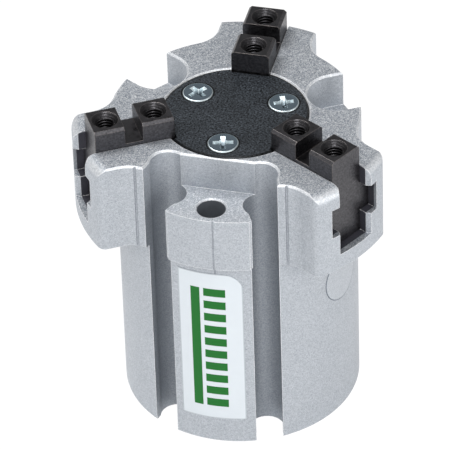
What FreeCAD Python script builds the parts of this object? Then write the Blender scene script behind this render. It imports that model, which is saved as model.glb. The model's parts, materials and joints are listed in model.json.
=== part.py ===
"""Three-finger pneumatic gripper.

A double-acting piston lifts a wedge cam. Three inclined T slots in the cam drive three fingers
outward along cross-shaped guide slots in the arms of the body. The base stands on z = 0, the
fingers point to +Z, and the drawn position is the closed one. Sizes are in millimetres.
"""
import FreeCAD
import Part
import math
import os

V = FreeCAD.Vector

# Points closer than this are taken as the same
SAME_PLACE = 0.002

# Directions around the axis, in degrees
ARM_DIRECTIONS = {"back": 90.0, "left": 210.0, "right": 330.0}
FRONT_LUG = 270.0
REAR_LUGS = (30.0, 150.0)
LUG_DIRECTIONS = (FRONT_LUG,) + REAR_LUGS

# Body: barrel and head
body_height = 76.0
barrel_radius = 28.0
barrel_edge = 0.2
head_height = 23.1
head_step = 1.1
head_edge_chamfer = 0.4
head_lower_edge_chamfer = 0.3
arm_width = 22.8
arm_reach = 37.8
arm_root_radius = 7.0
arm_side_least = 0.4
arm_corner_radius = 1.9
arm_end_radius = 3.0

# Mounting lugs
mount_hole_radius = 3.3
mount_hole_pcd = 48.9
mount_hole_chamfer = 0.35
lug_ledge_depth = 9.1
front_wall_distance = 17.55
front_recess_half_width = 8.7
front_lug_width = 19.3
front_lug_step = 1.4
scallop_radius = 6.7

# Switch grooves beside the front lug
groove_radius = 4.15
groove_spread = 10.8
groove_depth = 6.9
groove_throat_half = 3.86
groove_mouth_inner = 9.7
groove_mouth_inner_depth = 1.4
groove_mouth_outer = 15.55
groove_mouth_outer_depth = 3.8

# Fine seams of the casting
seam_swing = 30.0
seam_radius = 0.3
parting_line_radius = 0.18
parting_line_offset = 1.4

# Guide slots and fingers
slide_clearance = 0.1
finger_width = 9.0
finger_flange_width = 14.8
finger_outer_end = 34.5
finger_inner_end = 15.7
finger_hidden_inner_end = 8.0
finger_height = 5.4
finger_flange_top = 5.3
finger_flange_thickness = 7.7
finger_lower_depth = 5.7
finger_stroke = 8.0
finger_edge_chamfer = 0.6
key_slot_start = 23.2
key_slot_width = 4.2
key_slot_depth = 4.5
jaw_hole_radius = 2.1
jaw_hole_inset = 3.6
jaw_hole_pitch = 11.5
jaw_hole_depth = 12.0
jaw_hole_countersink = 1.0
lip_corner_chamfer = 0.8
lip_corner_length = 1.2

# End plate and its screws
plate_radius = 17.0
plate_thickness = 2.0
plate_gap = 0.2
plate_edge_chamfer = 0.3
plate_notch_gap = 0.45
plate_screw_pcd = 23.56
plate_screw_radius = 2.0
plate_screw_head_radius = 3.6
plate_screw_rim_height = 0.3
plate_screw_rim_chamfer = 0.15
plate_screw_seat_drop = 0.1
plate_screw_length = 10.0
plate_screw_thread_gap = 1.0
plate_screw_cross_length = 4.2
plate_screw_cross_width = 0.9
plate_screw_cross_depth = 1.2
screw_clearance = 0.1

# Cylinder
bore_radius = 16.0
piston_stroke = 14.0
pilot_radius = 17.0
pilot_depth = 2.0
ring_land = 0.6
ring_thickness = 1.2
ring_groove_depth = 0.85
ring_radial_width = 2.6
ring_gap_angle = 40.0
ring_eye_radius = 1.95
ring_eye_hole_radius = 0.9
ring_eye_offset = 0.7
fit_gap = 0.05
cap_thickness = 4.5
cap_oring_groove_depth = 1.5
cap_oring_groove_width = 1.9
cap_dish_radius = 10.0
cap_dish_depth = 1.2
partition_thickness = 6.0

# Piston group
running_gap = 0.05
piston_thickness = 8.0
piston_radius = 15.9
piston_step_radius = 14.6
piston_step_height = 1.0
bumper_stand = 0.45
bumper_thickness = 1.2
bumper_inner_radius = 8.0
bumper_outer_radius = 11.0
wear_ring_height = 1.4
wear_ring_depth = 0.9
magnet_height = 1.5
magnet_depth = 2.6
magnet_cover = 0.4
seal_height = 2.0
seal_depth = 2.2
ring_spacing = 0.35
rod_radius = 5.0
rod_spigot_radius = 3.0
rod_end_gap = 0.4
seal_lip = 0.5
rod_nut_radius = 5.2
rod_nut_thickness = 3.0
nut_recess_gap = 0.5
rod_top_spigot_radius = 3.9
rod_top_spigot_height = 4.0

# Rod guide in the partition
bush_radius = 6.5
bush_length = 3.0
rod_seal_radius = 8.0
rod_seal_height = 2.1
seal_retainer_thickness = 0.8
seal_retainer_gap = 0.4
rod_seal_lip = 0.6

# Wedge cam
cam_floor_gap = 0.6
cam_roof_gap = 1.3
cam_wing_width = 12.6
cam_land_height = 1.7
cam_face_radius = 9.0
hook_drop = 0.5
hook_height = 7.5
hook_pocket_gap = 0.3
hook_neck_thickness = 1.5
hook_head_thickness = 2.0
hook_neck_width = 5.2
hook_head_width = 8.9
hook_clearance = 0.1
leg_outer_radius = 17.0
pocket_clearance = 0.15
cam_pocket_gap = 0.3
cam_bolt_radius = 2.0
cam_bolt_head_radius = 3.5
cam_bolt_head_height = 4.0
cam_bolt_engagement = 7.45
cam_bolt_end_gap = 1.0
cam_bolt_socket_width = 3.0
cam_bolt_socket_depth = 2.0
cam_bolt_head_gap = 0.2

# Air ports and the dowel hole
port_radius = 2.1
port_spotface_radius = 4.0
port_spotface_depth = 0.5
dowel_radius = 2.0
dowel_depth = 5.0

# Label on the front lug
label_width = 15.25
label_bottom = 7.1
label_head_gap = 2.4
label_thickness = 0.12
label_corner_radius = 4.6
label_offset = -0.17

# How far a cutting tool runs past what it cuts
overshoot = 1.0

# Places worked out from the sizes above
head_radius = barrel_radius + head_step
arm_half = arm_width / 2
arm_corner_centre = math.sqrt(
    (arm_reach - arm_corner_radius) ** 2 - (arm_half - arm_corner_radius) ** 2
)
arm_root_end = arm_corner_centre - arm_side_least
arm_root_limit = (arm_root_end ** 2 - head_radius ** 2 + arm_half ** 2) / (
    2 * (head_radius - arm_half)
)
arm_root = min(arm_root_radius, arm_root_limit)
arm_root_centre = math.sqrt((head_radius + arm_root) ** 2 - (arm_half + arm_root) ** 2)
front_lug_radius = barrel_radius + front_lug_step
groove_distance = barrel_radius - groove_depth
head_bottom = body_height - head_height
label_top = head_bottom - label_head_gap
ledge_z = body_height - lug_ledge_depth
mount_hole_distance = mount_hole_pcd / 2
slot_half = finger_width / 2 + slide_clearance
flange_slot_half = finger_flange_width / 2 + slide_clearance
finger_top = body_height + finger_height
flange_top = body_height - finger_flange_top
flange_bottom = flange_top - finger_flange_thickness
finger_bottom = flange_bottom - finger_lower_depth
slot_floor = finger_bottom - slide_clearance
plate_bottom = body_height - plate_thickness
plate_screw_distance = plate_screw_pcd / 2
ring_bottom = pilot_depth + ring_land
cap_bottom = ring_bottom + ring_thickness + fit_gap
cap_top = cap_bottom + cap_thickness
piston_bottom = cap_top + bumper_stand + fit_gap
piston_top = piston_bottom + piston_thickness
partition_bottom = piston_top + piston_stroke + bumper_stand + fit_gap
partition_top = partition_bottom + partition_thickness
cam_bottom = partition_top + cam_floor_gap
cam_top = plate_bottom - cam_roof_gap - piston_stroke
cam_slope = finger_stroke / piston_stroke
hook_top = cam_top - hook_drop
hook_bottom = hook_top - hook_height
cam_land_top = cam_bottom + cam_land_height
cam_wing_radius = cam_face_radius + (hook_top - cam_land_top) * cam_slope
cam_bolt_seat = cam_top - cam_bolt_head_height - cam_bolt_head_gap
cam_bolt_bottom = cam_bottom + rod_top_spigot_height - cam_bolt_engagement
lower_port_z = cap_top + port_radius
upper_port_z = partition_bottom - port_radius
far = 1.2 * arm_reach


def turned(solid, degrees):
    """A copy of a solid that was drawn along +X, turned to a direction about the axis."""
    copy = solid.copy()
    copy.rotate(V(0, 0, 0), V(0, 0, 1), degrees)
    return copy


def disc(radius, z0, z1, x=0.0, y=0.0):
    """A cylinder along Z."""
    return Part.makeCylinder(radius, z1 - z0, V(x, y, z0), V(0, 0, 1))


def block(x0, x1, half_width, z0, z1):
    """A box that is centred on the XZ plane."""
    return Part.makeBox(x1 - x0, 2 * half_width, z1 - z0, V(x0, -half_width, z0))


def revolved(points):
    """A full turn of a closed outline of (radius, z) points."""
    wire = Part.makePolygon([V(r, 0, z) for r, z in points + [points[0]]])
    return Part.Face(wire).revolve(V(0, 0, 0), V(0, 0, 1), 360)


def tube(inner, outer, z0, z1):
    """A plain ring."""
    return revolved([(inner, z0), (outer, z0), (outer, z1), (inner, z1)])


def side_profile(points, half_width):
    """An outline of (x, z) points, extruded evenly to both sides of the XZ plane."""
    wire = Part.makePolygon([V(x, -half_width, z) for x, z in points + [points[0]]])
    return Part.Face(wire).extrude(V(0, 2 * half_width, 0))


def plan_profile(points, z0, z1):
    """An outline of (x, y) points, extruded along Z."""
    wire = Part.makePolygon([V(x, y, z0) for x, y in points + [points[0]]])
    return Part.Face(wire).extrude(V(0, 0, z1 - z0))


def polar(radius, degrees, z=0.0):
    """A point at a radius and a direction."""
    angle = math.radians(degrees)
    return V(radius * math.cos(angle), radius * math.sin(angle), z)


def arc(start, middle, end):
    """An arc edge through three points."""
    return Part.Arc(start, middle, end).toShape()


def arc_about(centre, start, end):
    """The shorter arc edge from start to end about a centre."""
    radius = (start - centre).Length
    middle = (start + end) * 0.5 - centre
    middle.normalize()
    return arc(start, centre + middle * radius, end)


def arm_edges(direction):
    """The arm's outline at z = 0: root fillet, side, corner, end, corner, side, root fillet."""
    root_centre = V(arm_root_centre, arm_half + arm_root, 0)
    on_head = root_centre * (head_radius / (head_radius + arm_root))
    side_start = V(arm_root_centre, arm_half, 0)
    corner_centre = V(arm_corner_centre, arm_half - arm_corner_radius, 0)
    side_end = V(arm_corner_centre, arm_half, 0)
    on_end = corner_centre * (arm_reach / (arm_reach - arm_corner_radius))

    def mirrored(point):
        return V(point.x, -point.y, 0)

    edges = [
        arc_about(mirrored(root_centre), mirrored(on_head), mirrored(side_start)),
        Part.LineSegment(mirrored(side_start), mirrored(side_end)).toShape(),
        arc_about(mirrored(corner_centre), mirrored(side_end), mirrored(on_end)),
        arc(mirrored(on_end), V(arm_reach, 0, 0), on_end),
        arc_about(corner_centre, on_end, side_end),
        Part.LineSegment(side_end, side_start).toShape(),
        arc_about(root_centre, side_start, on_head),
    ]
    spread = math.degrees(math.atan2(on_head.y, on_head.x))
    return [turned(edge, direction) for edge in edges], spread


def head_outline():
    """The head seen from above: a round with three arms, as one closed wire at z = 0."""
    edges = []
    for direction in ARM_DIRECTIONS.values():
        arm, spread = arm_edges(direction)
        edges += arm
        start = direction + spread
        end = direction + 360.0 / len(ARM_DIRECTIONS) - spread
        edges.append(
            arc(
                polar(head_radius, start),
                polar(head_radius, (start + end) / 2),
                polar(head_radius, end),
            )
        )
    return Part.Wire(edges)


def groove_tool(side):
    """A round switch groove with its flared mouth, drawn with the front lug along +X."""
    top = body_height + overshoot
    round_part = disc(groove_radius, -overshoot, top, groove_distance, side * groove_spread)
    inner_x = barrel_radius - groove_mouth_inner_depth
    outer_x = barrel_radius - groove_mouth_outer_depth
    inner_root = groove_spread - groove_radius
    outer_root = groove_spread + groove_radius
    inner_slope = (groove_mouth_inner - inner_root) / (inner_x - groove_distance)
    outer_slope = (groove_mouth_outer - outer_root) / (outer_x - groove_distance)
    mouth = [
        (groove_distance, side * (groove_spread - groove_throat_half)),
        (inner_x, side * groove_mouth_inner),
        (far, side * (groove_mouth_inner + inner_slope * (far - inner_x))),
        (far, side * (outer_root + outer_slope * (far - groove_distance))),
        (outer_x, side * groove_mouth_outer),
        (groove_distance, side * (groove_spread + groove_throat_half)),
    ]
    return round_part.fuse(plan_profile(mouth, -overshoot, top))


def front_gap_tools():
    """What is cut at the front: the recess above the lug, two grooves and the casting seams."""
    half = front_recess_half_width
    recess = plan_profile(
        [
            (front_wall_distance, -half),
            (groove_distance, -half),
            (far, -2 * half),
            (far, 2 * half),
            (groove_distance, half),
            (front_wall_distance, half),
        ],
        ledge_z,
        body_height + overshoot,
    )
    tools = [recess, groove_tool(1), groove_tool(-1)]
    return [turned(tool, FRONT_LUG) for tool in tools]


def seam_tools():
    """Fine seams on the root fillets beside the switch grooves, and the front parting line."""
    swing = math.radians(seam_swing)
    x = arm_root_centre - arm_root * math.sin(swing)
    y = arm_half + arm_root - arm_root * math.cos(swing)
    tools = []
    for name, side in (("left", 1), ("right", -1)):
        seam = disc(seam_radius, head_bottom - overshoot, body_height + overshoot, x, side * y)
        tools.append(turned(seam, ARM_DIRECTIONS[name]))
    turn = math.degrees(parting_line_offset / front_lug_radius)
    for radius, z0, z1 in (
        (front_lug_radius, head_bottom, ledge_z + overshoot),
        (barrel_radius, label_top, head_bottom),
    ):
        tools.append(turned(disc(parting_line_radius, z0, z1, radius, 0), FRONT_LUG + turn))
    return tools


def scallop_tool():
    """The round recess for a bolt head above a rear lug, drawn along +X."""
    x = mount_hole_distance
    corners = [V(x, -scallop_radius, ledge_z), V(far, -scallop_radius, ledge_z)]
    corners += [V(far, scallop_radius, ledge_z), V(x, scallop_radius, ledge_z)]
    edges = [Part.LineSegment(a, b).toShape() for a, b in zip(corners, corners[1:])]
    edges.append(arc(corners[3], V(x - scallop_radius, 0, ledge_z), corners[0]))
    return Part.Face(Part.Wire(edges)).extrude(V(0, 0, lug_ledge_depth + overshoot))


def mount_hole_tool():
    """A through hole with a small chamfer at the ledge, drawn along +X."""
    hole = disc(mount_hole_radius, -overshoot, body_height, mount_hole_distance, 0)
    cone = Part.makeCone(
        mount_hole_radius,
        mount_hole_radius + mount_hole_chamfer,
        mount_hole_chamfer,
        V(mount_hole_distance, 0, ledge_z - mount_hole_chamfer),
        V(0, 0, 1),
    )
    return hole.fuse(cone)


def lip_chamfer_tool(side, z0, z1):
    """The broken corner where a narrow slot opens at the arm's end."""
    mouth_x = math.sqrt(arm_reach ** 2 - slot_half ** 2)
    slope = lip_corner_chamfer / lip_corner_length
    end = mouth_x + overshoot
    points = [
        (mouth_x - lip_corner_length, side * slot_half),
        (end, side * slot_half),
        (end, side * (slot_half + lip_corner_chamfer + slope * overshoot)),
    ]
    return plan_profile(points, z0, z1)


def arm_slot_tools():
    """The cross-shaped guide slot of one arm, and the pockets for the leg and the cam wing."""
    cam_pocket_half = cam_wing_width / 2 + pocket_clearance
    cam_pocket_reach = cam_wing_radius + cam_pocket_gap
    wing_top_reach = cam_face(flange_top - piston_stroke) + cam_pocket_gap
    leg_reach = leg_outer_radius + finger_stroke + pocket_clearance
    top = body_height + overshoot
    flange_slot_top = flange_top + slide_clearance
    flange_slot_bottom = flange_bottom - slide_clearance
    tools = [
        block(0, far, slot_half, flange_slot_top, top),
        block(0, far, flange_slot_half, flange_slot_bottom, flange_slot_top),
        block(0, far, slot_half, slot_floor, flange_slot_bottom),
        block(0, leg_reach, slot_half, hook_bottom - hook_pocket_gap, slot_floor),
        block(0, cam_pocket_reach, cam_pocket_half, partition_top, flange_bottom),
        block(0, wing_top_reach, cam_pocket_half, flange_bottom, body_height),
    ]
    for side in (-1, 1):
        tools.append(lip_chamfer_tool(side, flange_slot_top - overshoot, top))
        tools.append(lip_chamfer_tool(side, slot_floor, flange_slot_bottom))
    return tools


def cam_face(z):
    """The distance of a cam wing's sloping outer face from the axis, cam at rest."""
    return cam_face_radius + (hook_top - z) * cam_slope


def port_tool(z):
    """A tapped port into the bore, with a spot face, drawn along +X."""
    hole = Part.makeCylinder(port_radius, barrel_radius, V(0, 0, z), V(1, 0, 0))
    face = Part.makeCylinder(
        port_spotface_radius,
        barrel_radius,
        V(barrel_radius - port_spotface_depth, 0, z),
        V(1, 0, 0),
    )
    return hole.fuse(face)


def arm_end_tool():
    """What is cut off around the head to round the arms' ends over into the top."""
    start = arm_reach - arm_end_radius
    low = body_height - arm_end_radius
    swing = arm_end_radius / math.sqrt(2)
    above = body_height + overshoot
    corners = [V(arm_reach, 0, low), V(far, 0, low), V(far, 0, above), V(start, 0, above)]
    corners.append(V(start, 0, body_height))
    edges = [Part.LineSegment(a, b).toShape() for a, b in zip(corners, corners[1:])]
    edges.append(arc(corners[-1], V(start + swing, 0, low + swing), corners[0]))
    return Part.Face(Part.Wire(edges)).revolve(V(0, 0, 0), V(0, 0, 1), 360)


def make_body():
    """The cast body, with all that is machined into it."""
    barrel = revolved(
        [
            (0, 0),
            (barrel_radius - barrel_edge, 0),
            (barrel_radius, barrel_edge),
            (barrel_radius, head_bottom),
            (0, head_bottom),
        ]
    )
    head = Part.Face(head_outline()).extrude(V(0, 0, head_height))
    head.translate(V(0, 0, head_bottom))
    head = head.makeChamfer(head_edge_chamfer, level_edges(head, body_height))
    head = head.makeChamfer(head_lower_edge_chamfer, level_edges(head, head_bottom))
    outline = Part.makeCompound(level_edges(head, body_height))
    lug = disc(front_lug_radius, head_bottom, ledge_z).common(
        turned(block(0, far, front_lug_width / 2, head_bottom, ledge_z), FRONT_LUG)
    )
    outer_tools = front_gap_tools()
    outer_tools += [turned(scallop_tool(), direction) for direction in REAR_LUGS]
    head = head.cut([arm_end_tool()] + outer_tools)
    gap_rim = [edge for edge in level_edges(head, body_height) if is_inside(edge, outline)]
    head = head.makeChamfer(head_edge_chamfer, gap_rim)
    body = barrel.fuse([head, lug]).cut(outer_tools).removeSplitter()

    tools = seam_tools()
    tools += [turned(mount_hole_tool(), direction) for direction in LUG_DIRECTIONS]
    for direction in ARM_DIRECTIONS.values():
        tools += [turned(tool, direction) for tool in arm_slot_tools()]
    body = body.cut(tools)

    recess_radius = plate_radius + plate_gap
    tools = [
        disc(recess_radius, plate_bottom, body_height + overshoot),
        Part.makeCone(
            recess_radius,
            recess_radius + plate_edge_chamfer,
            plate_edge_chamfer,
            V(0, 0, body_height - plate_edge_chamfer),
            V(0, 0, 1),
        ),
        disc(pilot_radius, -overshoot, pilot_depth),
        disc(bore_radius, 0, partition_bottom),
        disc(
            bore_radius + ring_groove_depth,
            ring_bottom - fit_gap,
            ring_bottom + ring_thickness + fit_gap,
        ),
        disc(rod_seal_radius, partition_bottom - overshoot, partition_top - bush_length),
        disc(bush_radius, partition_bottom, partition_top + overshoot),
        turned(port_tool(lower_port_z), ARM_DIRECTIONS["back"]),
        turned(port_tool(upper_port_z), ARM_DIRECTIONS["back"]),
        turned(
            disc(dowel_radius, -overshoot, dowel_depth, mount_hole_distance, 0),
            ARM_DIRECTIONS["back"],
        ),
    ]
    thread_bottom = body_height - plate_screw_length - plate_screw_thread_gap
    for direction in LUG_DIRECTIONS:
        thread = disc(plate_screw_radius, thread_bottom, plate_bottom, plate_screw_distance, 0)
        tools.append(turned(thread, direction))
    return body.cut(tools)


def level_edges(solid, z):
    """The edges of a solid that lie at a height."""
    edges = []
    for edge in solid.Edges:
        box = edge.BoundBox
        if abs(box.ZMin - z) < SAME_PLACE and abs(box.ZMax - z) < SAME_PLACE:
            edges.append(edge)
    return edges


def is_inside(edge, outline):
    """True for an edge of a gap in the head: it isn't on the outline or at an arm's end."""
    middle = edge.valueAt((edge.FirstParameter + edge.LastParameter) / 2)
    if math.hypot(middle.x, middle.y) > arm_reach - arm_end_radius - SAME_PLACE:
        return False
    return outline.distToShape(Part.Vertex(middle))[0] > SAME_PLACE


def make_end_plate():
    """The disc that closes the head, notched for the fingers and countersunk for its screws."""
    plate = revolved(
        [
            (0, plate_bottom),
            (plate_radius, plate_bottom),
            (plate_radius, body_height - plate_edge_chamfer),
            (plate_radius - plate_edge_chamfer, body_height),
            (0, body_height),
        ]
    )
    low = plate_bottom - overshoot
    tools = []
    for direction in ARM_DIRECTIONS.values():
        notch = block(
            finger_inner_end - plate_notch_gap,
            far,
            finger_width / 2 + plate_notch_gap,
            low,
            body_height + overshoot,
        )
        tools.append(turned(notch, direction))
    for direction in LUG_DIRECTIONS:
        hole = disc(
            plate_screw_radius + screw_clearance, low, body_height, plate_screw_distance, 0
        )
        tools.append(turned(hole, direction))
        tools.append(turned(screw_cone(screw_clearance), direction))
        rim = disc(
            plate_screw_head_radius + screw_clearance,
            body_height - plate_screw_seat_drop,
            body_height + overshoot,
            plate_screw_distance,
            0,
        )
        tools.append(turned(rim, direction))
    return plate.cut(tools)


def screw_cone(gap):
    """The conical part of a countersunk head, or with a gap its seat, drawn along +X."""
    cone_height = plate_screw_head_radius - plate_screw_radius
    return Part.makeCone(
        plate_screw_radius + gap,
        plate_screw_head_radius + gap,
        cone_height,
        V(plate_screw_distance, 0, body_height - plate_screw_seat_drop - cone_height),
        V(0, 0, 1),
    )


def make_plate_screw(direction):
    """A countersunk screw with a low rim and a cross recess."""
    cone_top = body_height - plate_screw_seat_drop
    cone_bottom = cone_top - plate_screw_head_radius + plate_screw_radius
    top = cone_top + plate_screw_rim_height
    x = plate_screw_distance
    rim = disc(plate_screw_head_radius, cone_top, top, x, 0)
    rim = rim.makeChamfer(plate_screw_rim_chamfer, level_edges(rim, top))
    shank = disc(plate_screw_radius, body_height - plate_screw_length, cone_bottom, x, 0)
    screw = shank.fuse([screw_cone(0.0), rim])
    half = plate_screw_cross_length / 2
    for angle in (0.0, 90.0):
        bar = Part.makeBox(
            plate_screw_cross_length,
            plate_screw_cross_width,
            plate_screw_cross_depth + overshoot,
            V(-half, -plate_screw_cross_width / 2, top - plate_screw_cross_depth),
        )
        bar.rotate(V(0, 0, 0), V(0, 0, 1), angle)
        bar.translate(V(x, 0, 0))
        screw = screw.cut(bar)
    return turned(screw.removeSplitter(), direction)


def make_finger(direction):
    """A finger with two raised blocks, a guide flange and a hooked leg, drawn along +X."""
    half = finger_width / 2
    leg_face_bottom = cam_face(hook_bottom) + hook_clearance
    leg_face_end = hook_top + (cam_face_radius + hook_clearance - finger_hidden_inner_end) / cam_slope
    key_slot_end = key_slot_start + key_slot_width
    web = side_profile(
        [
            (finger_outer_end, finger_bottom),
            (finger_outer_end, finger_top),
            (key_slot_end, finger_top),
            (key_slot_end, finger_top - key_slot_depth),
            (key_slot_start, finger_top - key_slot_depth),
            (key_slot_start, finger_top),
            (finger_inner_end, finger_top),
            (finger_inner_end, plate_bottom - pocket_clearance),
            (finger_hidden_inner_end, plate_bottom - pocket_clearance),
            (finger_hidden_inner_end, leg_face_end),
            (leg_face_bottom, hook_bottom),
            (leg_outer_radius, hook_bottom),
            (leg_outer_radius, finger_bottom),
        ],
        half,
    )
    flange = block(
        finger_hidden_inner_end,
        finger_outer_end,
        finger_flange_width / 2,
        flange_bottom,
        flange_top,
    )
    neck = slanted_bar(
        -hook_neck_thickness, overshoot, hook_neck_width / 2, hook_bottom, hook_top
    )
    head = slanted_bar(
        -hook_neck_thickness - hook_head_thickness,
        -hook_neck_thickness,
        hook_head_width / 2,
        hook_bottom,
        hook_top,
    )
    finger = web.fuse([flange, neck, head])
    tools = []
    for side in (-1, 1):
        corner = [
            (half - finger_edge_chamfer, finger_top),
            (half + overshoot, finger_top - finger_edge_chamfer - overshoot),
            (half + overshoot, finger_top + overshoot),
            (half - finger_edge_chamfer, finger_top + overshoot),
        ]
        points = [V(0, side * y, z) for y, z in corner + [corner[0]]]
        tools.append(Part.Face(Part.makePolygon(points)).extrude(V(far, 0, 0)))
    outer_hole = finger_outer_end - jaw_hole_inset
    for x in (outer_hole, outer_hole - jaw_hole_pitch):
        low = finger_top - jaw_hole_depth
        tools.append(disc(jaw_hole_radius, low, finger_top + overshoot, x, 0))
        tools.append(
            Part.makeCone(
                jaw_hole_radius,
                jaw_hole_radius + jaw_hole_countersink,
                jaw_hole_countersink,
                V(x, 0, finger_top - jaw_hole_countersink),
                V(0, 0, 1),
            )
        )
    return turned(finger.cut(tools).removeSplitter(), direction)


def slanted_bar(inner, outer, half_width, z0, z1):
    """A bar along the cam's slope, between two distances from the cam's face."""
    return side_profile(
        [
            (cam_face(z0) + inner, z0),
            (cam_face(z0) + outer, z0),
            (cam_face(z1) + outer, z1),
            (cam_face(z1) + inner, z1),
        ],
        half_width,
    )


def make_wedge_cam():
    """Three wings with sloping faces, each with a T slot for a finger's hook."""
    wing = side_profile(
        [
            (0, cam_bottom),
            (cam_wing_radius, cam_bottom),
            (cam_wing_radius, cam_land_top),
            (cam_face(cam_top), cam_top),
            (0, cam_top),
        ],
        cam_wing_width / 2,
    )
    wings = [turned(wing, direction) for direction in ARM_DIRECTIONS.values()]
    cam = wings[0].fuse(wings[1:]).removeSplitter()
    low = cam_bottom - overshoot
    high = cam_top + overshoot
    neck = slanted_bar(
        -hook_neck_thickness - hook_clearance,
        cam_wing_radius,
        hook_neck_width / 2 + hook_clearance,
        low,
        high,
    )
    head = slanted_bar(
        -hook_neck_thickness - hook_head_thickness - hook_clearance,
        -hook_neck_thickness + hook_clearance,
        hook_head_width / 2 + hook_clearance,
        low,
        high,
    )
    tools = []
    for direction in ARM_DIRECTIONS.values():
        tools.append(turned(neck, direction))
        tools.append(turned(head, direction))
    tools.append(disc(rod_top_spigot_radius, low, cam_bottom + rod_top_spigot_height))
    tools.append(disc(cam_bolt_radius + screw_clearance, cam_bottom, high))
    tools.append(disc(cam_bolt_head_radius + cam_bolt_head_gap, cam_bolt_seat, high))
    return cam.cut(tools)


def hexagon(width, z0, z1):
    """A hexagonal prism, by its width across flats."""
    radius = width / math.sqrt(3)
    return plan_profile([polar(radius, 60 * i)[:2] for i in range(6)], z0, z1)


def make_cam_bolt():
    """A cap screw that holds the cam on the rod."""
    top = cam_bolt_seat + cam_bolt_head_height
    head = disc(cam_bolt_head_radius, cam_bolt_seat, top)
    bolt = head.fuse(disc(cam_bolt_radius, cam_bolt_bottom, cam_bolt_seat))
    socket = hexagon(cam_bolt_socket_width, top - cam_bolt_socket_depth, top + overshoot)
    return bolt.cut(socket)


def make_piston_rod():
    """The rod, with a shoulder on the piston, a lower spigot and a tapped top spigot."""
    spigot_top = cam_bottom + rod_top_spigot_height
    rod = disc(rod_radius, piston_top, cam_bottom).fuse(
        [
            disc(rod_spigot_radius, piston_bottom + rod_end_gap, piston_top),
            disc(rod_top_spigot_radius - running_gap, cam_bottom, spigot_top),
        ]
    )
    return rod.cut(disc(cam_bolt_radius, cam_bolt_bottom - cam_bolt_end_gap, cam_top))


def ring_levels():
    """The heights of the wear ring, the magnet and the seal on the piston, from below."""
    wear = piston_bottom + piston_step_height + ring_spacing
    magnet = wear + wear_ring_height + ring_spacing
    seal = magnet + magnet_height + ring_spacing
    return wear, magnet, seal


def make_piston():
    """The turned piston, with its ring grooves, bumper seats and nut recess."""
    wear, magnet, seal = ring_levels()
    piston = disc(piston_step_radius, piston_bottom, piston_top).fuse(
        disc(piston_radius, piston_bottom + piston_step_height, piston_top - piston_step_height)
    )
    wall = piston_radius + overshoot
    low = piston_bottom - overshoot
    high = piston_top + overshoot
    bumper_seat = bumper_thickness - bumper_stand
    tools = [
        tube(piston_radius - wear_ring_depth, wall, wear, wear + wear_ring_height),
        tube(piston_radius - magnet_depth, wall, magnet, magnet + magnet_height),
        tube(piston_radius - seal_depth, wall, seal, seal + seal_height),
        tube(bumper_inner_radius, bumper_outer_radius, low, piston_bottom + bumper_seat),
        tube(bumper_inner_radius, bumper_outer_radius, piston_top - bumper_seat, high),
        disc(rod_spigot_radius, low, high),
        disc(
            rod_nut_radius * 2 / math.sqrt(3) + nut_recess_gap,
            low,
            piston_bottom + rod_nut_thickness + nut_recess_gap,
        ),
    ]
    return piston.cut(tools)


def make_piston_nut():
    """The thin nut under the piston."""
    z0 = piston_bottom + nut_recess_gap
    nut = hexagon(2 * rod_nut_radius, z0, z0 + rod_nut_thickness)
    return nut.cut(disc(rod_spigot_radius, z0 - overshoot, z0 + rod_nut_thickness + overshoot))


def make_bumper(z0):
    """A soft ring that stops the piston."""
    return tube(bumper_inner_radius, bumper_outer_radius, z0, z0 + bumper_thickness)


def make_piston_rings():
    """The three rings on the piston's outside."""
    wear, magnet, seal = ring_levels()
    outer = bore_radius - running_gap
    seal_ring = revolved(
        [
            (piston_radius - seal_depth, seal),
            (outer - seal_lip, seal),
            (outer, seal + seal_lip),
            (outer, seal + seal_height - seal_lip),
            (outer - seal_lip, seal + seal_height),
            (piston_radius - seal_depth, seal + seal_height),
        ]
    )
    return {
        "wear_ring": tube(piston_radius - wear_ring_depth, outer, wear, wear + wear_ring_height),
        "magnet_ring": tube(
            piston_radius - magnet_depth, piston_radius - magnet_cover, magnet, magnet + magnet_height
        ),
        "piston_seal": seal_ring,
    }


def make_end_cap():
    """The disc that closes the bore, with an O-ring groove and a dished underside."""
    outer = bore_radius - running_gap
    groove_z = cap_bottom + (cap_thickness - cap_oring_groove_width) / 2
    cap = disc(outer, cap_bottom, cap_top)
    tools = [
        tube(
            outer - cap_oring_groove_depth,
            outer + overshoot,
            groove_z,
            groove_z + cap_oring_groove_width,
        ),
        disc(cap_dish_radius, cap_bottom - overshoot, cap_bottom + cap_dish_depth),
    ]
    return cap.cut(tools)


def make_cap_oring():
    """The O-ring of the end cap, squeezed to the depth of its groove."""
    radius = cap_oring_groove_depth / 2
    centre = bore_radius - running_gap - radius
    z = cap_bottom + cap_thickness / 2
    return Part.makeTorus(centre, radius, V(0, 0, z), V(0, 0, 1))


def make_retaining_ring():
    """A spring ring with a gap and two eyes, seated in its groove."""
    outer = bore_radius + ring_groove_depth - fit_gap
    inner = outer - ring_radial_width
    eye_distance = inner - ring_eye_offset
    eye_turn = ring_gap_angle / 2 + math.degrees(ring_eye_radius / eye_distance)
    top = ring_bottom + ring_thickness
    ring = tube(inner, outer, ring_bottom, top)
    tools = [
        plan_profile(
            [
                (0, 0),
                tuple(polar(2 * outer, ring_gap_angle / 2)[:2]),
                tuple(polar(2 * outer, -ring_gap_angle / 2)[:2]),
            ],
            ring_bottom - overshoot,
            top + overshoot,
        )
    ]
    eyes = []
    for side in (-1, 1):
        place = polar(eye_distance, side * eye_turn)
        eyes.append(disc(ring_eye_radius, ring_bottom, top, place.x, place.y))
        low = ring_bottom - overshoot
        tools.append(disc(ring_eye_hole_radius, low, top + overshoot, place.x, place.y))
    ring = ring.fuse(eyes).cut(tools).removeSplitter()
    return turned(ring, FRONT_LUG)


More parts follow.
